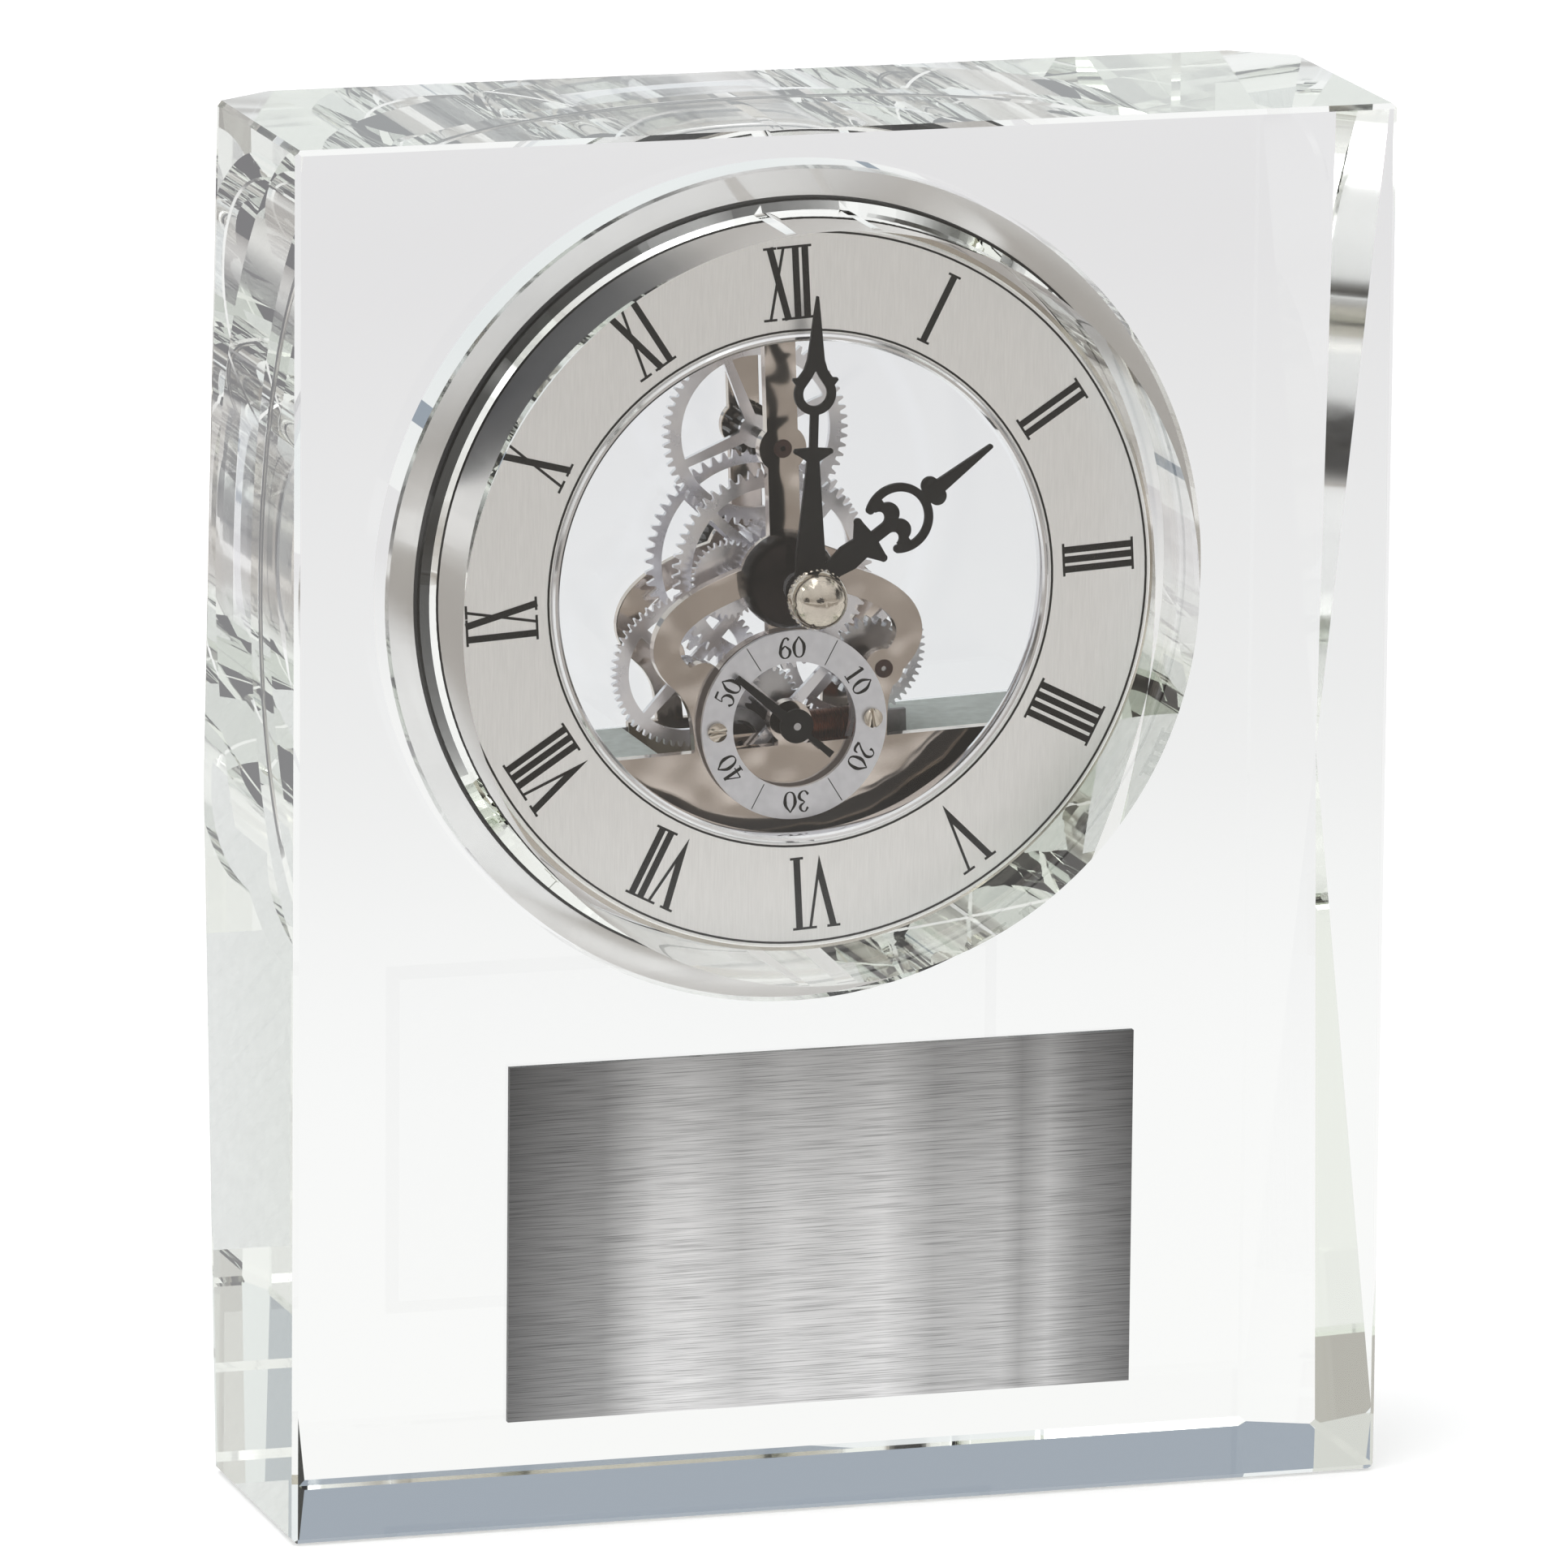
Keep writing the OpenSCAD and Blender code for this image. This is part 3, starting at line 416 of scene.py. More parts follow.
print("noise of 9 cycles per mm repeats every", round(1 / 9, 2), "mm")

# %% [markdown]
# Optical crystal is clear lead-free glass, ground flat and polished until the grinding marks are
# gone. It bends light with an index of about 1.52, and long paths through it look faintly olive,
# because iron in the melt takes a little red and blue. A volume absorption gives that, more where
# the path is longer, which no surface colour can do. The lens behind the movement is acrylic: a
# little lighter, and with a lower index. The noise moves the roughness of both by a hair's
# breadth, as polishing does, so that they stay clear.

# %% Crystal and acrylic
POLISH = 0.003
CRYSTAL_INDEX, ACRYLIC_INDEX = 1.52, 1.49
TINT_DENSITY = 4.0


def clear_shader(tree, colour, index, per_mm):
    """A polished transparent solid with that index of refraction."""
    polish = spread(tree, stretched_noise(tree, (per_mm, per_mm, per_mm)), 0.0, POLISH)
    return add(tree, "ShaderNodeBsdfPrincipled",
               {"Base Color": linear(colour), "Roughness": polish, "IOR": index,
                "Transmission Weight": 1.0})


crystal, tree = new_material("polished_optical_crystal")
glass = clear_shader(tree, "#FFFFFF", CRYSTAL_INDEX, 0.15)
tint = add(tree, "ShaderNodeVolumeAbsorption",
           {"Color": linear("#DFE5D8"), "Density": TINT_DENSITY})
add(tree, "ShaderNodeOutputMaterial",
    {"Surface": glass.outputs["BSDF"], "Volume": tint.outputs["Volume"]})
paint(crystal, "crystal_block")

lens, tree = new_material("clear_polished_acrylic")
sheet = clear_shader(tree, "#FAFCFC", ACRYLIC_INDEX, 0.08)
add(tree, "ShaderNodeOutputMaterial", {"Surface": sheet.outputs["BSDF"]})
paint(lens, "rear_lens")
print("indices", [round(s.inputs["IOR"].default_value, 2) for s in (glass, sheet)])

# %% [markdown]
# All the metals are made the same way, and differ by what their maker did to the surface. One
# noise is the grain. It moves the roughness, so that a highlight breaks up, mixes two close tones,
# and may raise a relief. Glass keeps a path tracer from finding all the light that reaches a satin
# face behind it, so such a face has a faint glow of its own colour instead. This glow is painted
# light that stands in for the missing light.

# %% Metals in general
BROAD_GRAIN = (0.06, 0.06, 0.06)


def metal(name, colours, roughness, spread_by=0.04, per_mm=BROAD_GRAIN, bump=0.0,
          bump_mm=0.02, detail=3.0, glow=0.0):
    """A metal with a grain that moves its roughness, its tone and its relief."""
    material, tree = new_material(name)
    noise = stretched_noise(tree, per_mm, detail)
    tone = two_tones(tree, noise, colours)
    shader = add(tree, "ShaderNodeBsdfPrincipled",
                 {"Base Color": tone, "Metallic": 1.0,
                  "Roughness": spread(tree, noise, roughness - spread_by, roughness + spread_by),
                  "Emission Color": tone, "Emission Strength": glow})
    if bump:
        relief = add(tree, "ShaderNodeBump",
                     {"Height": noise, "Strength": bump, "Distance": bump_mm * MM})
        tree.links.new(relief.outputs["Normal"], shader.inputs["Normal"])
    add(tree, "ShaderNodeOutputMaterial", {"Surface": shader.outputs["BSDF"]})
    return material


print("tone of a metal drifts over", round(1 / BROAD_GRAIN[0]), "mm unless it says otherwise")

# %% [markdown]
# The dial and the ring of seconds are satin: ground with a fine grain that runs up and down, then
# silvered. The dial's rim and the bezel are chrome, and the tube between them is drawn nickel.

# %% Metals of the dial and the case
# Aluminium ground upwards and silvered: a soft sheen over an upright grain. The real lines are
# too fine to show, so they are drawn nine to the millimetre
satin_dial = metal("satin_silvered_aluminium", ("#F4F3F1", "#ECEBE9"), roughness=0.38,
                   spread_by=0.03, per_mm=(9.0, 0.3, 0.4), bump=0.05, glow=0.1)
# Brass ground and silvered: a shade darker and bluer than the dial, with a grain of about 1 mm
ring_satin = metal("satin_silvered_brass", ("#D6D6DA", "#CCCCD0"), roughness=0.33,
                   spread_by=0.03, per_mm=(0.9, 0.3, 0.9), bump=0.1, glow=0.1)
# Chrome over polished brass: a clear mirror whose tone drifts only over some 12 mm, with a trace
# of painted glow in place of light that the glass holds back
chrome = metal("polished_chrome", ("#F1F1F3", "#E8E8EA"), roughness=0.1, spread_by=0.03,
               per_mm=(0.08, 0.08, 0.08), glow=0.03)
# Nickel tube, drawn through a die: nearly a mirror, a little yellow, uneven over 8 mm
case_nickel = metal("bright_drawn_nickel", ("#D2CCC2", "#C4BEB4"), roughness=0.1,
                    spread_by=0.03, per_mm=(0.12, 0.12, 0.12))
# Nickel with a warm flash, polished on a wheel: a small bright mirror
champagne = metal("polished_champagne_nickel", ("#CFC6B9", "#BFB6A9"), roughness=0.1,
                  spread_by=0.03, per_mm=(0.3, 0.3, 0.3), bump=0.1)
paint(satin_dial, "dial_plate")
paint(ring_satin, "seconds_ring")
paint(chrome, "rear_bezel", "dial_rim")
paint(case_nickel, "case_ring")
paint(champagne, "hand_nut", "ring_screws")
print([finish.name for finish in (satin_dial, ring_satin, chrome, case_nickel, champagne)])

# %% [markdown]
# The movement is nickel and steel. Its plates are polished with a wheel that leaves broad waves,
# so they mirror the room in soft patches. The wheels are stamped and left satin, the arbors are
# turned, and the dome over the hour pipe is almost black.

# %% Metals of the movement
# Brass plate, nickelled and wheel polished: waves 8 mm long bend what it mirrors
plate_nickel = metal("polished_nickel_plate", ("#D4CAC1", "#C4BAB1"), roughness=0.1,
                     spread_by=0.03, per_mm=(0.12, 0.12, 0.12), bump=1.0, bump_mm=0.5,
                     detail=1.0)
# Stamped and tumbled nickel: pale and soft, with a speckle of 2 mm
wheel_nickel = metal("satin_nickel_wheel", ("#E8E7EA", "#D8D7DB"), roughness=0.24,
                     spread_by=0.05, per_mm=(0.5, 0.5, 0.5), bump=0.1, glow=0.06)
# Steel from the lathe: rings round the axis, drawn three to the millimetre so that they show
steel = metal("turned_steel", ("#C9C9CB", "#B8B8BA"), roughness=0.18, spread_by=0.05,
              per_mm=(0.2, 3.0, 0.2), bump=0.1)
# Black nickel over polished brass: a dark brown mirror
dark_nickel = metal("black_nickel", ("#1C1615", "#14100F"), roughness=0.12,
                    per_mm=(0.2, 0.2, 0.2))
# Pressed steel can, nickel plated: dull and even
cell_steel = metal("nickel_plated_can", ("#CFCFCC", "#BFBFBC"), roughness=0.22)
# Spring bronze with a flash of gold, so that the contacts stay clean
gold_flash = metal("gold_flashed_spring", ("#D9BE7E", "#CBAE6C"), roughness=0.2)
# Silicon steel, stamped and annealed: grey and matt, mottled at 1 mm
lamination = metal("stamped_silicon_steel", ("#8C8C8E", "#7A7A7C"), roughness=0.4,
                   spread_by=0.08, per_mm=(0.9, 0.9, 0.9), bump=0.2)
# Copper under brown enamel: the turns of the coil stand side by side, six to the millimetre
copper_wire = metal("enamelled_copper_wire", ("#603828", "#48291E"), roughness=0.28,
                    spread_by=0.06, per_mm=(6.0, 0.2, 0.2), bump=0.6, bump_mm=0.05)
paint(plate_nickel, "front_plate", "rear_plate", "dial_posts", "plate_pillars",
      "motor_bridge")
paint(wheel_nickel, "reduction_wheel", "seconds_wheel", "transfer_wheel", "idler_wheel",
      "upper_wheel", "centre_wheel", "motion_wheel", "hour_wheel")
paint(steel, "pillar_screws", "reduction_arbor", "seconds_arbor",
      "transfer_arbor", "centre_arbor", "cannon_pinion", "motion_stud")
paint(dark_nickel, "centre_boss", "upper_arbor", "rotor")
paint(cell_steel, "battery", "quartz_crystal")
paint(gold_flash, "battery_contacts")
paint(lamination, "stator", "coil_core")
paint(copper_wire, "motor_coil")
print([finish.name for finish in (plate_nickel, wheel_nickel, steel, dark_nickel, cell_steel,
                                  gold_flash, lamination, copper_wire)])

# %% [markdown]
# The blank name plate is stainless steel, brushed along its width. The brush leaves long fine
# scratches, so the noise is stretched seventy times further along X than across. Brushed sheet
# also shows broad vertical bands, where the lamps of the room are smeared at right angles to the
# scratches. Here those reflections are painted into the colour: a colour ramp across the width
# gives the painted bands the same place from every side, and a second ramp paints shade that
# darkens the plate towards its top.

# %% Painted reflections and shade on the name plate
plate_low, plate_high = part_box("name_plate")
brushed, tree = new_material("brushed_stainless")
coords = add(tree, "ShaderNodeTexCoord").outputs["Object"]
axes = add(tree, "ShaderNodeSeparateXYZ", {"Vector": coords})
across = add(tree, "ShaderNodeMapRange",
             {"Value": axes.outputs["X"], "From Min": plate_low.x,
              "From Max": plate_high.x}).outputs["Result"]
downwards = add(tree, "ShaderNodeMapRange",
                {"Value": axes.outputs["Z"], "From Min": plate_low.z,
                 "From Max": plate_high.z, "To Min": 1.0, "To Max": 0.0}).outputs["Result"]
# Painted reflections: bright and dark bands where the room's lamps would be mirrored
painted_reflection_bands = add(tree, "ShaderNodeValToRGB", {"Fac": across}, stops=[
    (0.0, "#848484"), (0.1, "#ACACAC"), (0.15, "#B8B8B8"), (0.23, "#F8F8F8"), (0.29, "#FFFFFF"),
    (0.37, "#E6E6E6"), (0.44, "#F8F8F8"), (0.51, "#F0F0F0"), (0.6, "#FFFFFF"), (0.68, "#D6D6D6"),
    (0.79, "#E2E2E2"), (0.82, "#C6C6C6"), (0.865, "#E6E6E6"), (0.92, "#B4B4B4"),
    (1.0, "#8A8A8A")]).outputs["Color"]
# Painted shade: the plate is darker towards its top
shade = add(tree, "ShaderNodeValToRGB", {"Fac": downwards}, stops=[
    (0.0, "#CCCCCC"), (0.45, "#F2F2F2"), (1.0, "#FFFFFF")]).outputs["Color"]
with_painted_light = add(tree, "ShaderNodeMix", {"Factor": 1.0, "A": painted_reflection_bands, "B": shade},
             data_type="RGBA", blend_type="MULTIPLY").outputs[MIXED_COLOUR]
print("plate width", round((plate_high.x - plate_low.x) / MM, 1), "mm")

# %% [markdown]
# The scratches darken the bands a little, raise a faint relief and spread the highlight. Real
# ones are finer, but nine to the millimetre is about as fine as the picture can show. Anisotropy
# makes the highlight long across the scratches.

# %% Scratches of the name plate
SCRATCH_RELIEF = 0.02 * MM

scratches = stretched_noise(tree, (0.13, 0.13, 9.0), 5.0)
fine = add(tree, "ShaderNodeValToRGB", {"Fac": scratches}, stops=[
    (0.3, "#B4B4B4"), (0.5, "#ECECEC"), (0.7, "#FFFFFF")]).outputs["Color"]
scratched = add(tree, "ShaderNodeMix", {"Factor": 1.0, "A": with_painted_light, "B": fine},
                data_type="RGBA", blend_type="MULTIPLY").outputs[MIXED_COLOUR]
relief = add(tree, "ShaderNodeBump",
             {"Height": scratches, "Strength": 0.2, "Distance": SCRATCH_RELIEF})
shader = add(tree, "ShaderNodeBsdfPrincipled",
             {"Base Color": scratched, "Metallic": 1.0,
              "Roughness": spread(tree, scratches, 0.34, 0.46), "Anisotropic": 0.5,
              "Normal": relief.outputs["Normal"]})
add(tree, "ShaderNodeOutputMaterial", {"Surface": shader.outputs["BSDF"]})
paint(brushed, "name_plate")
print("plate nodes", len(tree.nodes))

# %% [markdown]
# Plastics, lacquer and ink are not metals: they keep their own colour and add a clear highlight on
# top. A little noise in the roughness breaks that highlight as moulding and spraying do. The
# housing and the film sit deep behind glass, and have the same faint painted glow as the satin
# metals, which stands in for light that the glass holds back.

# %% Plastics in general
PLASTIC_RELIEF = 0.02 * MM


def plastic(name, colours, roughness, spread_by=0.05, per_mm=0.6, bump=0.1, specular=0.5,
            glow=0.0):
    """A plastic, lacquer or ink with a fine texture."""
    material, tree = new_material(name)
    noise = stretched_noise(tree, (per_mm, per_mm, per_mm))
    tone = two_tones(tree, noise, colours)
    relief = add(tree, "ShaderNodeBump",
                 {"Height": noise, "Strength": bump, "Distance": PLASTIC_RELIEF})
    shader = add(tree, "ShaderNodeBsdfPrincipled",
                 {"Base Color": tone, "Specular IOR Level": specular,
                  "Roughness": spread(tree, noise, roughness - spread_by, roughness + spread_by),
                  "Normal": relief.outputs["Normal"],
                  "Emission Color": tone, "Emission Strength": glow})
    add(tree, "ShaderNodeOutputMaterial", {"Surface": shader.outputs["BSDF"]})
    return material


print("texture of plastics is", round(PLASTIC_RELIEF / MM, 2), "mm deep")

# %% [markdown]
# The hands are lacquered, the numerals printed, and the housing and its cover are moulded. The
# bearings of the pivots are small brown jewels, pressed into the plates.

# %% Plastics, lacquer and ink
# Stoving lacquer on steel hands: black, with a soft sheen and no mirror
lacquer = plastic("black_lacquer_on_steel", ("#0E0E0E", "#090909"), roughness=0.45,
                  per_mm=0.9, bump=0.05, specular=0.2)
# Pad printing ink: flat black, mottled at 0.4 mm where the film is thinner
ink = plastic("black_printing_ink", ("#141412", "#1A1A18"), roughness=0.6, spread_by=0.08,
              per_mm=2.5, specular=0.2)
# ABS with a moulded texture: a pale grey green, softly matt, drawn coarser than real so it shows
housing = plastic("moulded_grey_green_abs", ("#B9C2BE", "#AEB6B2"), roughness=0.42,
                  spread_by=0.06, per_mm=0.7, glow=0.3)
# The same plastic in black, with a texture that shows in its highlight
black_abs = plastic("moulded_black_abs", ("#1B1B1C", "#131314"), roughness=0.45,
                    spread_by=0.08, per_mm=1.2, bump=0.2)
# Rubber from a mould: dull, and dark enough to hide the joint
rubber = plastic("moulded_black_rubber", ("#0C0C0C", "#121212"), roughness=0.7,
                 spread_by=0.08, per_mm=1.5, bump=0.2, specular=0.2)
# Synthetic stone, polished: a brown bead with a sharp highlight
jewel = plastic("polished_brown_jewel", ("#4A2A22", "#3A201A"), roughness=0.12,
                spread_by=0.03, per_mm=0.4, bump=0.0)
# Green lacquer over the copper of the circuit board
solder_mask = plastic("green_solder_mask", ("#1E5A33", "#174A2A"), roughness=0.3)
# Foam film with a white face, seen only from behind and in the mirror of the glass
tape = plastic("white_adhesive_film", ("#F1F2F2", "#ECEDED"), roughness=0.6, glow=0.3)
paint(lacquer, "hour_hand", "minute_hand", "seconds_hand")
paint(ink, "dial_markings")
paint(housing, "motor_housing")
paint(black_abs, "housing_cover", "battery_door", "coil_bobbin", "setting_knob")
paint(rubber, "seat_gasket")
paint(jewel, "front_bushes", "rear_bushes")
paint(solder_mask, "circuit_board")
paint(tape, "plate_tape")
print([finish.name for finish in (lacquer, ink, housing, black_abs, rubber, jewel,
                                  solder_mask, tape)])

# %% [markdown]
# The small seconds ring is printed with plain figures every ten seconds and four thin lines. The
# figures are drawn as a type cutter would: a few strokes that swell and thin. A stroke is a list
# of knots, each with its place and its width there, in shares of the figure's height.

# %% Strokes of the figures
STROKES = {
    "0": [[(0.31, 1.0, 0.05), (0.56, 0.5, 0.17), (0.31, 0.0, 0.05), (0.06, 0.5, 0.17),
           (0.31, 1.0, 0.05)]],
    "1": [[(0.31, 0.0, 0.15), (0.31, 0.97, 0.15)], [(0.31, 0.95, 0.06), (0.12, 0.84, 0.05)],
          [(0.1, 0.02, 0.05), (0.52, 0.02, 0.05)]],
    "2": [[(0.13, 0.72, 0.14), (0.15, 0.88, 0.07), (0.31, 1.0, 0.05), (0.52, 0.78, 0.15),
           (0.4, 0.45, 0.1), (0.08, 0.07, 0.06)], [(0.08, 0.06, 0.13), (0.5, 0.06, 0.12),
                                                   (0.56, 0.24, 0.05)]],
    "3": [[(0.12, 0.8, 0.12), (0.3, 1.0, 0.05), (0.5, 0.78, 0.14), (0.27, 0.54, 0.05)],
          [(0.27, 0.54, 0.05), (0.54, 0.28, 0.16), (0.3, 0.0, 0.05), (0.09, 0.18, 0.13)]],
    "4": [[(0.42, 1.0, 0.06), (0.05, 0.28, 0.05)], [(0.05, 0.28, 0.06), (0.6, 0.28, 0.06)],
          [(0.42, 1.0, 0.15), (0.42, 0.0, 0.15)], [(0.27, 0.02, 0.05), (0.57, 0.02, 0.05)]],
    "5": [[(0.17, 0.95, 0.05), (0.13, 0.55, 0.05)], [(0.17, 0.92, 0.12), (0.5, 0.95, 0.1)],
          [(0.13, 0.54, 0.05), (0.33, 0.62, 0.07), (0.55, 0.32, 0.16), (0.31, 0.0, 0.05),
           (0.09, 0.16, 0.12)]],
    "6": [[(0.31, 0.6, 0.06), (0.55, 0.3, 0.15), (0.31, 0.0, 0.05), (0.07, 0.3, 0.16),
           (0.31, 0.6, 0.06)], [(0.5, 0.86, 0.12), (0.37, 0.98, 0.06), (0.15, 0.72, 0.12),
                                (0.07, 0.3, 0.16)]],
}
print("figures", "".join(STROKES))

# %% [markdown]
# Each stroke becomes a spline of one curve object. The curve's round section is a pen with a
# radius of 0.5 mm, so the radius that a knot asks for is the stroke's width there in mm.

# %% Pen for the seconds ring
PEN_RADIUS = 0.5 * MM
ring_low, ring_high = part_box("seconds_ring")
ring_centre = (ring_low + ring_high) / 2
curve = bpy.data.curves.new("seconds_scale", "CURVE")
curve.dimensions = "3D"
curve.bevel_depth = PEN_RADIUS
curve.bevel_resolution = 1
curve.use_fill_caps = True
curve.resolution_u = 5


def on_ring(x, z, angle):
    """A place given as right and out along a radius, turned clockwise by the angle."""
    return (ring_centre.x + (x * math.cos(angle) + z * math.sin(angle)) * MM,
            ring_centre.z + (z * math.cos(angle) - x * math.sin(angle)) * MM)


def add_stroke(knots, angle):
    """A smooth spline through (x, z, width) knots, in mm, laid on the ring at that angle."""
    spline = curve.splines.new("BEZIER")
    spline.bezier_points.add(len(knots) - 1)
    for point, (x, z, width) in zip(spline.bezier_points, knots):
        px, pz = on_ring(x, z, angle)
        point.co = (px, 0.0, pz)
        point.radius = width
        point.handle_left_type = point.handle_right_type = "AUTO"


print("ring centre", [round(c / MM, 2) for c in ring_centre], "mm")

# %% [markdown]
# The figures stand upright on their own radius, every ten seconds with the 60 at the top, and
# four lines lie between them. The whole scale is turned with the clock, which sits 2.2 degrees
# askew in its bore.

# %% Figures and lines of the seconds ring
DEGREES_A_SECOND = 6
CLOCK_TURN = math.radians(2.2)
# Sizes on the ring in mm, and how bold the strokes are
FIGURE_HEIGHT, FIGURE_STEP, FIGURE_SHIFT, FIGURE_RADIUS = 2.5, 1.72, 0.05, 9.35
WEIGHT = 1.2
LINE_FROM, LINE_TO, LINE_WIDTH = 7.9, 11.2, 0.13
LINE_DEGREES = (30, 150, 210, 330)

for seconds in (60, 10, 20, 30, 40, 50):
    angle = math.radians(seconds * DEGREES_A_SECOND) - CLOCK_TURN
    for figure_place, figure in enumerate(str(seconds)):
        start = (figure_place - 1) * FIGURE_STEP + FIGURE_SHIFT
        for stroke in STROKES[figure]:
            add_stroke([(start + x * FIGURE_HEIGHT, FIGURE_RADIUS + (y - 0.5) * FIGURE_HEIGHT,
                         width * WEIGHT * FIGURE_HEIGHT) for x, y, width in stroke], angle)
for degrees in LINE_DEGREES:
    add_stroke([(0.0, reach, LINE_WIDTH) for reach in (LINE_FROM, LINE_TO)],
               math.radians(degrees) - CLOCK_TURN)
print("strokes", len(curve.splines))

# %% [markdown]
# The curves become a mesh, are pressed flat and are moved to the face of the ring, so that they
# lie on it as a film of ink.

# %% Film of ink
FILM = 0.03 * MM

scale = bpy.data.objects.new("seconds_scale", curve)
bpy.context.scene.collection.objects.link(scale)
select_only(scale)
bpy.ops.object.convert(target="MESH")
scale = bpy.context.object
thickness = max(vertex.co.y for vertex in scale.data.vertices)
bpy.ops.object.mode_set(mode="EDIT")
bpy.ops.mesh.select_all(action="SELECT")
bpy.ops.transform.resize(value=(1.0, FILM / thickness, 1.0), center_override=(0, 0, 0))
bpy.ops.transform.translate(value=(0.0, ring_low.y, 0.0))
bpy.ops.object.mode_set(mode="OBJECT")
scale.data.materials.clear()
scale.data.materials.append(ink)
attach(scale, "case")
print("seconds scale", len(scale.data.polygons), "faces")

# %% [markdown]
# The floor is a wide pale sheet of paper. Glass and metal see a tone of its own for each depth,
# dark in front of the clock and pale behind it, which is what gives clear glass and nickel their
# grey depth in a white room.

# %% Floor
FLOOR_RADIUS, FLOOR_SIDES = 4.0, 96
FLOOR_Z = -0.2 * MM
TONES_REACH = 1.0

bpy.ops.object.select_all(action="DESELECT")
bpy.ops.mesh.primitive_circle_add(vertices=FLOOR_SIDES, radius=FLOOR_RADIUS,
                                  fill_type="NGON", location=(0, 0, FLOOR_Z))
floor = bpy.context.object
floor.name = "floor"
floor_paper, tree = new_material("matt_white_paper")
coords = add(tree, "ShaderNodeTexCoord").outputs["Object"]
axes = add(tree, "ShaderNodeSeparateXYZ", {"Vector": coords})
depth = add(tree, "ShaderNodeMapRange",
            {"Value": axes.outputs["Y"], "From Min": -TONES_REACH,
             "From Max": TONES_REACH}).outputs["Result"]
tones = add(tree, "ShaderNodeValToRGB", {"Fac": depth}, stops=[
    (0.0, "#F4F2F0"), (0.08, "#B4AFA9"), (0.3, "#AEA8A2"), (0.36, "#F6F5F4"), (0.47, "#FFFFFF"),
    (0.6, "#FDFDFE"), (0.72, "#F5F5F7"), (0.88, "#ECEBEE"), (1.0, "#EAE9EC")]).outputs["Color"]
print("floor", FLOOR_RADIUS * 2, "m across")

# %% [markdown]
# The sheet shows three faces. The camera sees paper with a little light of its own, so that the
# background turns white and a soft shadow stays at the block's foot. Rays that were mirrored or
# bent see the tones. Light that bounces about meets plain paper.

# %% What each ray sees of the floor
SHEET_GLOW = 0.3

# A Mix Shader takes a factor and two shaders, which are its inputs 0, 1 and 2
rays = add(tree, "ShaderNodeLightPath")
paper = add(tree, "ShaderNodeBsdfDiffuse", {"Color": linear("#F4F4F4")})
glow = add(tree, "ShaderNodeEmission", {"Color": linear("#FFFFFF"), "Strength": SHEET_GLOW})
lit_paper = add(tree, "ShaderNodeAddShader", {0: paper.outputs[0], 1: glow.outputs[0]})
toned = add(tree, "ShaderNodeEmission", {"Color": tones, "Strength": 1.0})
bent = add(tree, "ShaderNodeMath", {0: rays.outputs["Is Glossy Ray"],
                                    1: rays.outputs["Is Transmission Ray"]},
           operation="MAXIMUM")
by_camera = add(tree, "ShaderNodeMixShader", {0: rays.outputs["Is Camera Ray"],
                                              1: paper.outputs[0], 2: lit_paper.outputs[0]})
by_any = add(tree, "ShaderNodeMixShader", {0: bent.outputs[0], 1: by_camera.outputs[0],
                                           2: toned.outputs[0]})
add(tree, "ShaderNodeOutputMaterial", {"Surface": by_any.outputs[0]})
floor.data.materials.append(floor_paper)
print("floor nodes", len(tree.nodes))

# %% [markdown]
# Light comes from the world alone: a tent of white cloth. Glass and polished metal have no colour
# of their own to show, so what they mirror is their look. The half of the tent behind the clock
# is cool and even. The half behind the camera is warm, and greyest a little above the horizon,
# which gives the nickel its tone.

# %% Tent
TENT_STRENGTH = 1.05
SEAM = 0.25

world = bpy.data.worlds.new("studio_tent")
bpy.context.scene.world = world
world.use_nodes = True
tree = world.node_tree
tree.nodes.clear()
direction = add(tree, "ShaderNodeTexCoord").outputs["Generated"]
parts = add(tree, "ShaderNodeSeparateXYZ", {"Vector": direction})
height = add(tree, "ShaderNodeMapRange",
             {"Value": parts.outputs["Z"], "From Min": -1.0, "From Max": 1.0}).outputs["Result"]
behind = add(tree, "ShaderNodeValToRGB", {"Fac": height}, stops=[
    (0.0, "#F4F5F6"), (0.5, "#F4F5F6"), (0.62, "#E9EDEF"), (0.8, "#F2F4F5"),
    (1.0, "#FFFFFF")]).outputs["Color"]
front = add(tree, "ShaderNodeValToRGB", {"Fac": height}, stops=[
    (0.0, "#E6E4E2"), (0.46, "#E0DDDA"), (0.56, "#B9B4AF"), (0.66, "#DCDAD8"),
    (0.85, "#F4F4F4"), (1.0, "#FFFFFF")]).outputs["Color"]
side = add(tree, "ShaderNodeMapRange",
           {"Value": parts.outputs["Y"], "From Min": -SEAM, "From Max": SEAM}).outputs["Result"]
tent = add(tree, "ShaderNodeMix", {"Factor": side, "A": front, "B": behind},
           data_type="RGBA").outputs[MIXED_COLOUR]
print("tent strength", TENT_STRENGTH)

# %% [markdown]
# Cards hang in the tent where a mirror needs something dark. The one behind the camera shows as
# the slate band in the bezel's mirror image. The one to the right and the brown one to the left
# give turned metal its dark sides. The high one darkens the upper right of the polished nut. A
# bright panel overhead draws the white spot on that nut. The edge of each is soft, as out of
# focus.

# %% Cards in the tent
# Cards as azimuth, elevation, inner and outer angle in degrees, and colour
CARDS = [(186, 4, 10, 18, "#26262A"), (104, 16, 10, 22, "#1C1917"),
         (236, 2, 8, 16, "#3A332E"), (74, 34, 8, 22, "#2A2623")]
PANEL = (251, 71, 10, 19)
PANEL_STRENGTH = 3.6


def toward(azimuth, elevation):
    """Unit vector for an azimuth in degrees from +Y towards +X, and an elevation."""
    azimuth, elevation = math.radians(azimuth), math.radians(elevation)
    return (math.sin(azimuth) * math.cos(elevation), math.cos(azimuth) * math.cos(elevation),
            math.sin(elevation))


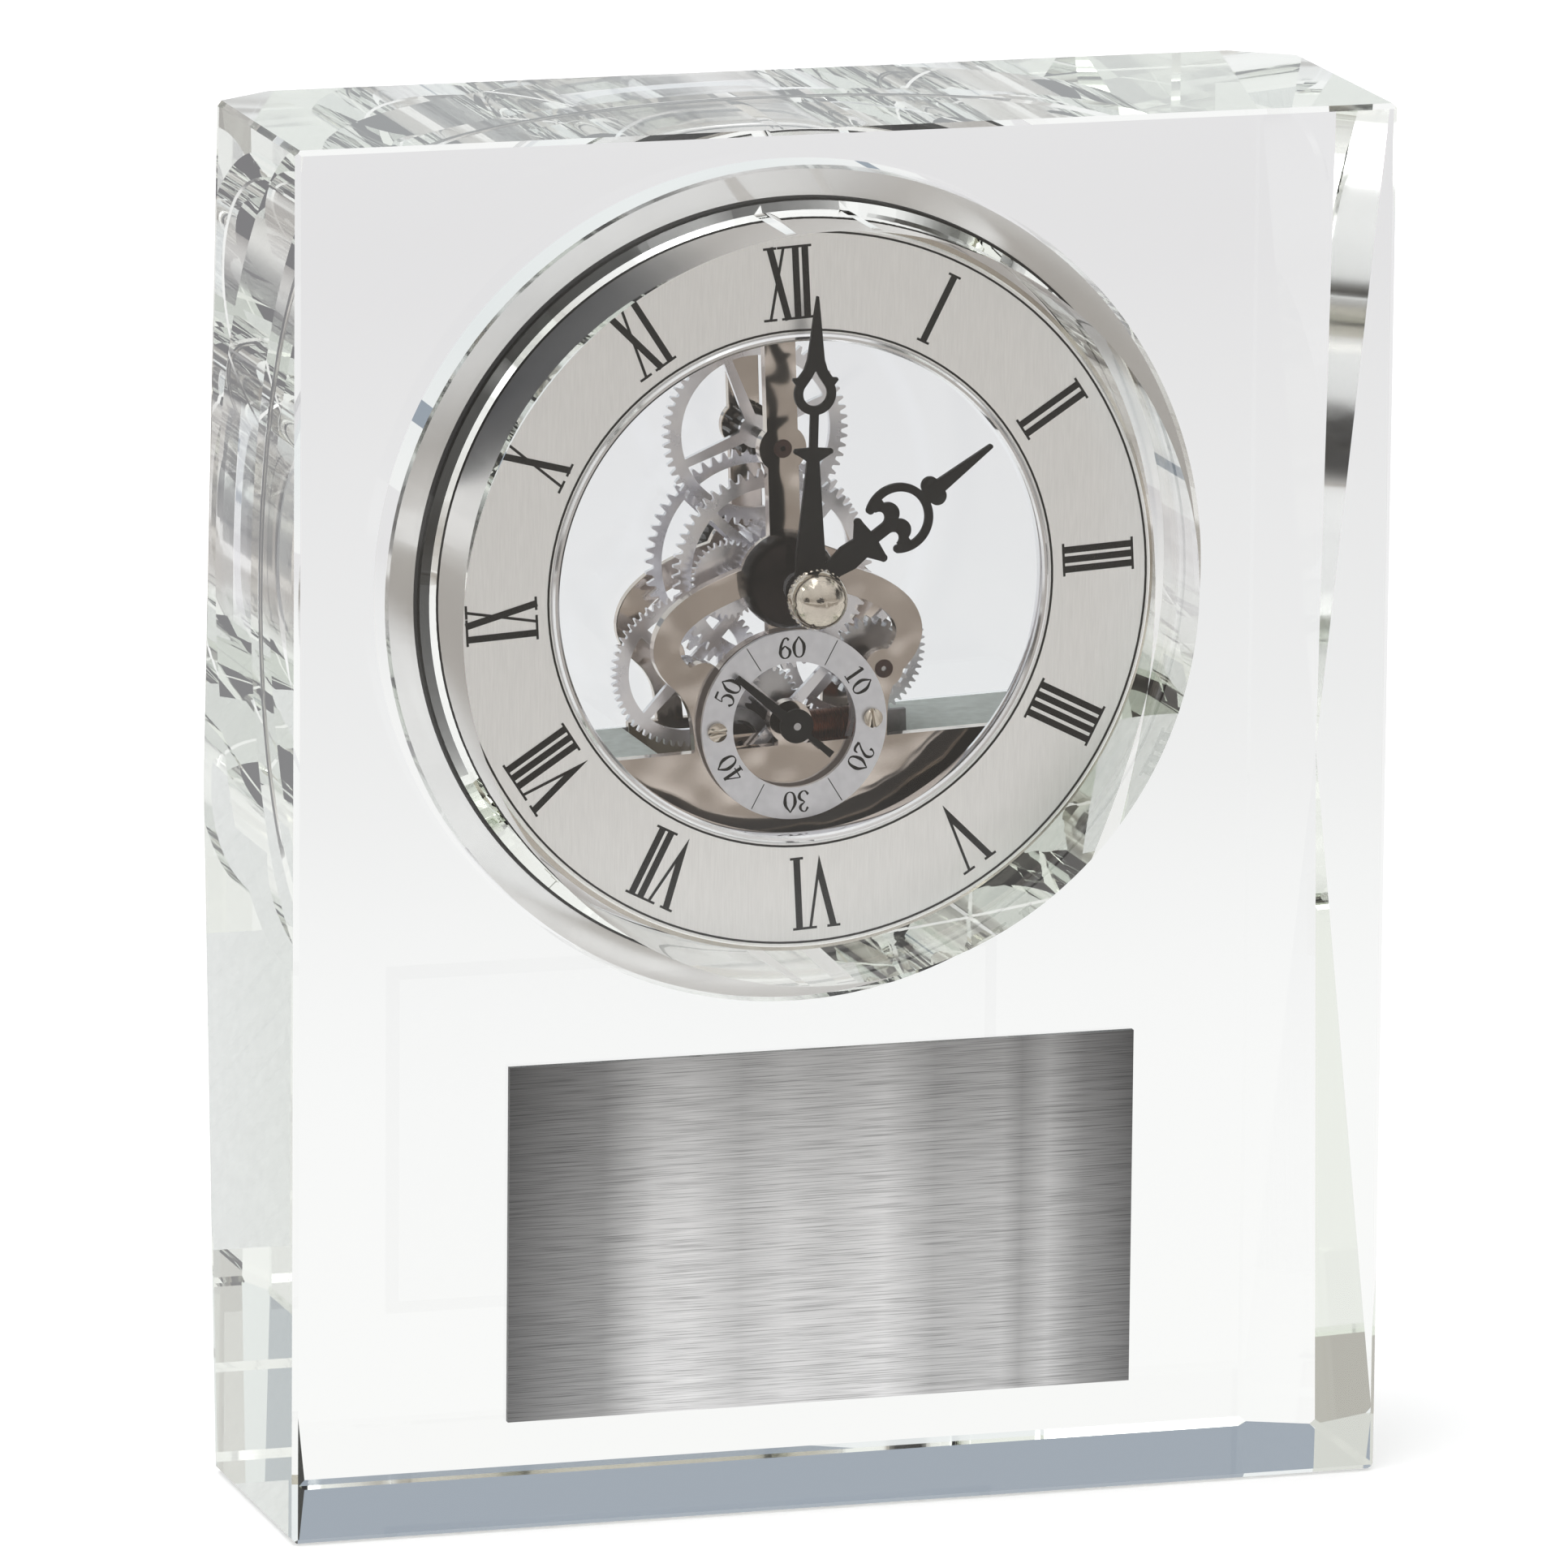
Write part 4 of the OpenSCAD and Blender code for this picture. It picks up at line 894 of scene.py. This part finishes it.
def card(azimuth, elevation, inner, outer):
    """1 within the inner angle of that direction, falling to 0 at the outer angle."""
    along = add(tree, "ShaderNodeVectorMath", {0: direction, 1: toward(azimuth, elevation)},
                operation="DOT_PRODUCT").outputs["Value"]
    return add(tree, "ShaderNodeMapRange",
               {"Value": along, "From Min": math.cos(math.radians(outer)),
                "From Max": math.cos(math.radians(inner))},
               interpolation_type="SMOOTHSTEP").outputs["Result"]


sky = tent
for *where, colour in CARDS:
    sky = add(tree, "ShaderNodeMix", {"Factor": card(*where), "A": sky, "B": linear(colour)},
              data_type="RGBA").outputs[MIXED_COLOUR]
light = add(tree, "ShaderNodeBackground", {"Color": sky, "Strength": TENT_STRENGTH})
panel = add(tree, "ShaderNodeBackground",
            {"Color": linear("#FFFFFF"), "Strength": PANEL_STRENGTH})
lit = add(tree, "ShaderNodeMixShader", {0: card(*PANEL), 1: light.outputs[0],
                                        2: panel.outputs[0]})
add(tree, "ShaderNodeOutputWorld", {"Surface": lit.outputs[0]})
print("cards", len(CARDS), "and one panel")

# %% [markdown]
# A slate card hangs flat behind the clock, above the picture. It is met by rays that leave the
# block upwards, after the mirror of its polished foot, so it darkens the block's lower edge. It
# is kept from the camera's direct view, from the shadows and from the light on matt faces.

# %% Slate card
SLATE_WIDTH, SLATE_DEPTH = 0.95, 0.3
SLATE_PLACE = (0.02, 0.76, 0.2)

bpy.ops.object.select_all(action="DESELECT")
bpy.ops.mesh.primitive_plane_add(size=1.0, location=(0, 0, 0))
slate_card = bpy.context.object
slate_card.name = "slate_card"
bpy.ops.object.mode_set(mode="EDIT")
bpy.ops.mesh.select_all(action="SELECT")
bpy.ops.transform.resize(value=(SLATE_WIDTH, SLATE_DEPTH, 1.0), center_override=(0, 0, 0))
bpy.ops.transform.translate(value=SLATE_PLACE)
bpy.ops.object.mode_set(mode="OBJECT")
slate_card.visible_camera = False
slate_card.visible_diffuse = False
slate_card.visible_shadow = False
slate, tree = new_material("matt_slate_card")
board = add(tree, "ShaderNodeEmission", {"Color": linear("#9CA6B2"), "Strength": 1.0})
add(tree, "ShaderNodeOutputMaterial", {"Surface": board.outputs[0]})
slate_card.data.materials.append(slate)
print("slate card", SLATE_WIDTH, "by", SLATE_DEPTH, "m")

# %% [markdown]
# A ray is given up after a set number of turns. Glass inside glass needs many, or the far walls
# of the bore turn black.

# %% Light paths
cycles = bpy.context.scene.cycles
cycles.max_bounces = 32
cycles.transmission_bounces = 28
cycles.glossy_bounces = 12
cycles.transparent_max_bounces = 12
bpy.context.scene.view_settings.view_transform = "Standard"
print("bounces", cycles.max_bounces)
